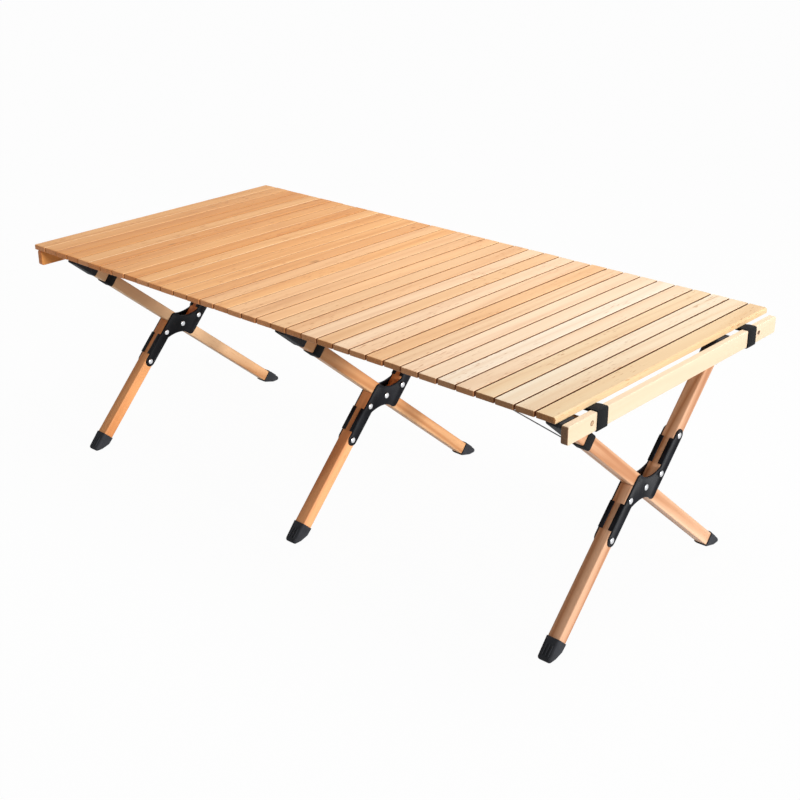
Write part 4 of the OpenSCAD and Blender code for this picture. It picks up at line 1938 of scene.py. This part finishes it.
@dataclass
class Studio:
    """The camera, the lamps, the world and the pale floor."""

    eye: Triple = (1.54542, -1.68475, 1.14928)
    azimuth: float = 41.67
    elevation: float = 23.42
    lens: float = 61.05
    sensor: float = 36.0
    world_light: float = 0.27
    overhead_place: Triple = (0.4, 0.4, 1.8)
    overhead_aim: Triple = (0.1, 0.0, 0.4)
    overhead_size: float = 1.2
    overhead_power: float = 20.5
    side_azimuth: float = 3.0
    side_elevation: float = 7.8
    side_spread: float = 8.0
    side_strength: float = 2.9
    floor_reach: float = 14.0
    floor_grey: float = 0.78
    floor_glow: float = 0.97

    def camera(self) -> None:
        """Sets the camera at the photograph's viewing angle."""
        data = bpy.data.cameras.new("camera")
        data.lens, data.sensor_width, data.sensor_fit = self.lens, self.sensor, "HORIZONTAL"
        camera = show("camera", data)
        camera.location = self.eye
        camera.rotation_euler = (math.radians(90 - self.elevation), 0.0, math.radians(self.azimuth))
        bpy.context.scene.camera = camera

    def overhead(self) -> None:
        """Adds a soft lamp over the table."""
        data = bpy.data.lights.new("overhead", "AREA")
        data.shape, data.size, data.energy = "DISK", self.overhead_size, self.overhead_power
        lamp = show("overhead", data)
        lamp.location = self.overhead_place
        away = Vector(self.overhead_aim) - Vector(self.overhead_place)
        lamp.rotation_euler = away.to_track_quat("-Z", "Y").to_euler()

    def side_light(self) -> None:
        """Adds a wide low light from the right, which reaches under the top."""
        data = bpy.data.lights.new("side", "SUN")
        data.energy, data.angle = self.side_strength, math.radians(self.side_spread)
        a, e = math.radians(self.side_azimuth), math.radians(self.side_elevation)
        away = Vector((-math.cos(a) * math.cos(e), math.sin(a) * math.cos(e), -math.sin(e)))
        show("side", data).rotation_euler = away.to_track_quat("-Z", "Y").to_euler()

    def seen(self, g: Graph) -> Socket:
        """Tells the rays that see the pale ground as white: those from the camera, a mirror or glass.

        Args:
            g: The graph of the world or the floor.

        Returns:
            1 for such a ray, or else 0.
        """
        path = g.add("ShaderNodeLightPath").outputs
        seen = g.math("MAXIMUM", path["Is Camera Ray"], path["Is Glossy Ray"])
        return g.math("MAXIMUM", seen, path["Is Transmission Ray"])

    def world(self) -> None:
        """Makes a white world that lights the table softly."""
        world = bpy.data.worlds.new("studio")
        world.use_nodes = True
        g = Graph(world.node_tree)
        strength = g.band(self.seen(g), 0.0, 1.0, self.world_light, 1.0)
        g.feed(g.tree.nodes["Background"], {"Color": (1.0, 1.0, 1.0, 1), "Strength": strength})
        bpy.context.scene.world = world

    def floor(self) -> None:
        """Makes the pale floor, which keeps the table's shadow."""
        material = bpy.data.materials.new("floor_white")
        material.use_nodes = True
        g = Graph(material.node_tree)
        paint = {"Base Color": (*(self.floor_grey,) * 3, 1), "Roughness": 0.9}
        shader = g.feed(g.tree.nodes["Principled BSDF"], paint).outputs[0]
        glow = g.call("ShaderNodeEmission", {"Color": (1, 1, 1, 1), "Strength": 1.0})
        share = g.times(self.seen(g), self.floor_glow)
        both = g.call("ShaderNodeMixShader", {0: share, 1: shader, 2: glow})
        g.feed(g.tree.nodes["Material Output"], {"Surface": both})
        mesh = bpy.data.meshes.new("studio_floor")
        r = self.floor_reach
        mesh.from_pydata([(-r, -r, 0), (r, -r, 0), (r, r, 0), (-r, r, 0)], [], [(0, 1, 2, 3)])
        mesh.materials.append(material)
        show("studio_floor", mesh)

    def build(self) -> None:
        """Makes the studio."""
        bpy.context.scene.view_settings.view_transform = "Standard"
        self.camera()
        self.world()
        self.floor()
        self.overhead()
        self.side_light()


def main() -> None:
    """Builds the table, piece by piece."""
    logging.basicConfig(level=logging.INFO, format="%(name)s: %(message)s")
    Studio().build()
    finishes = Finishes()
    bar_group = rounded_bar_group()
    EndRails(finishes).build()
    top = SlatTop(finishes, slat_row_tree(bar_group))
    top.build()
    Straps(finishes, top).build()
    rivets, ribs = rivet_tree(), rib_row_tree(bar_group)
    for side in Side:
        FoldingFrame(side, finishes, rivets, ribs).build()


if __name__ == "__main__":
    main()
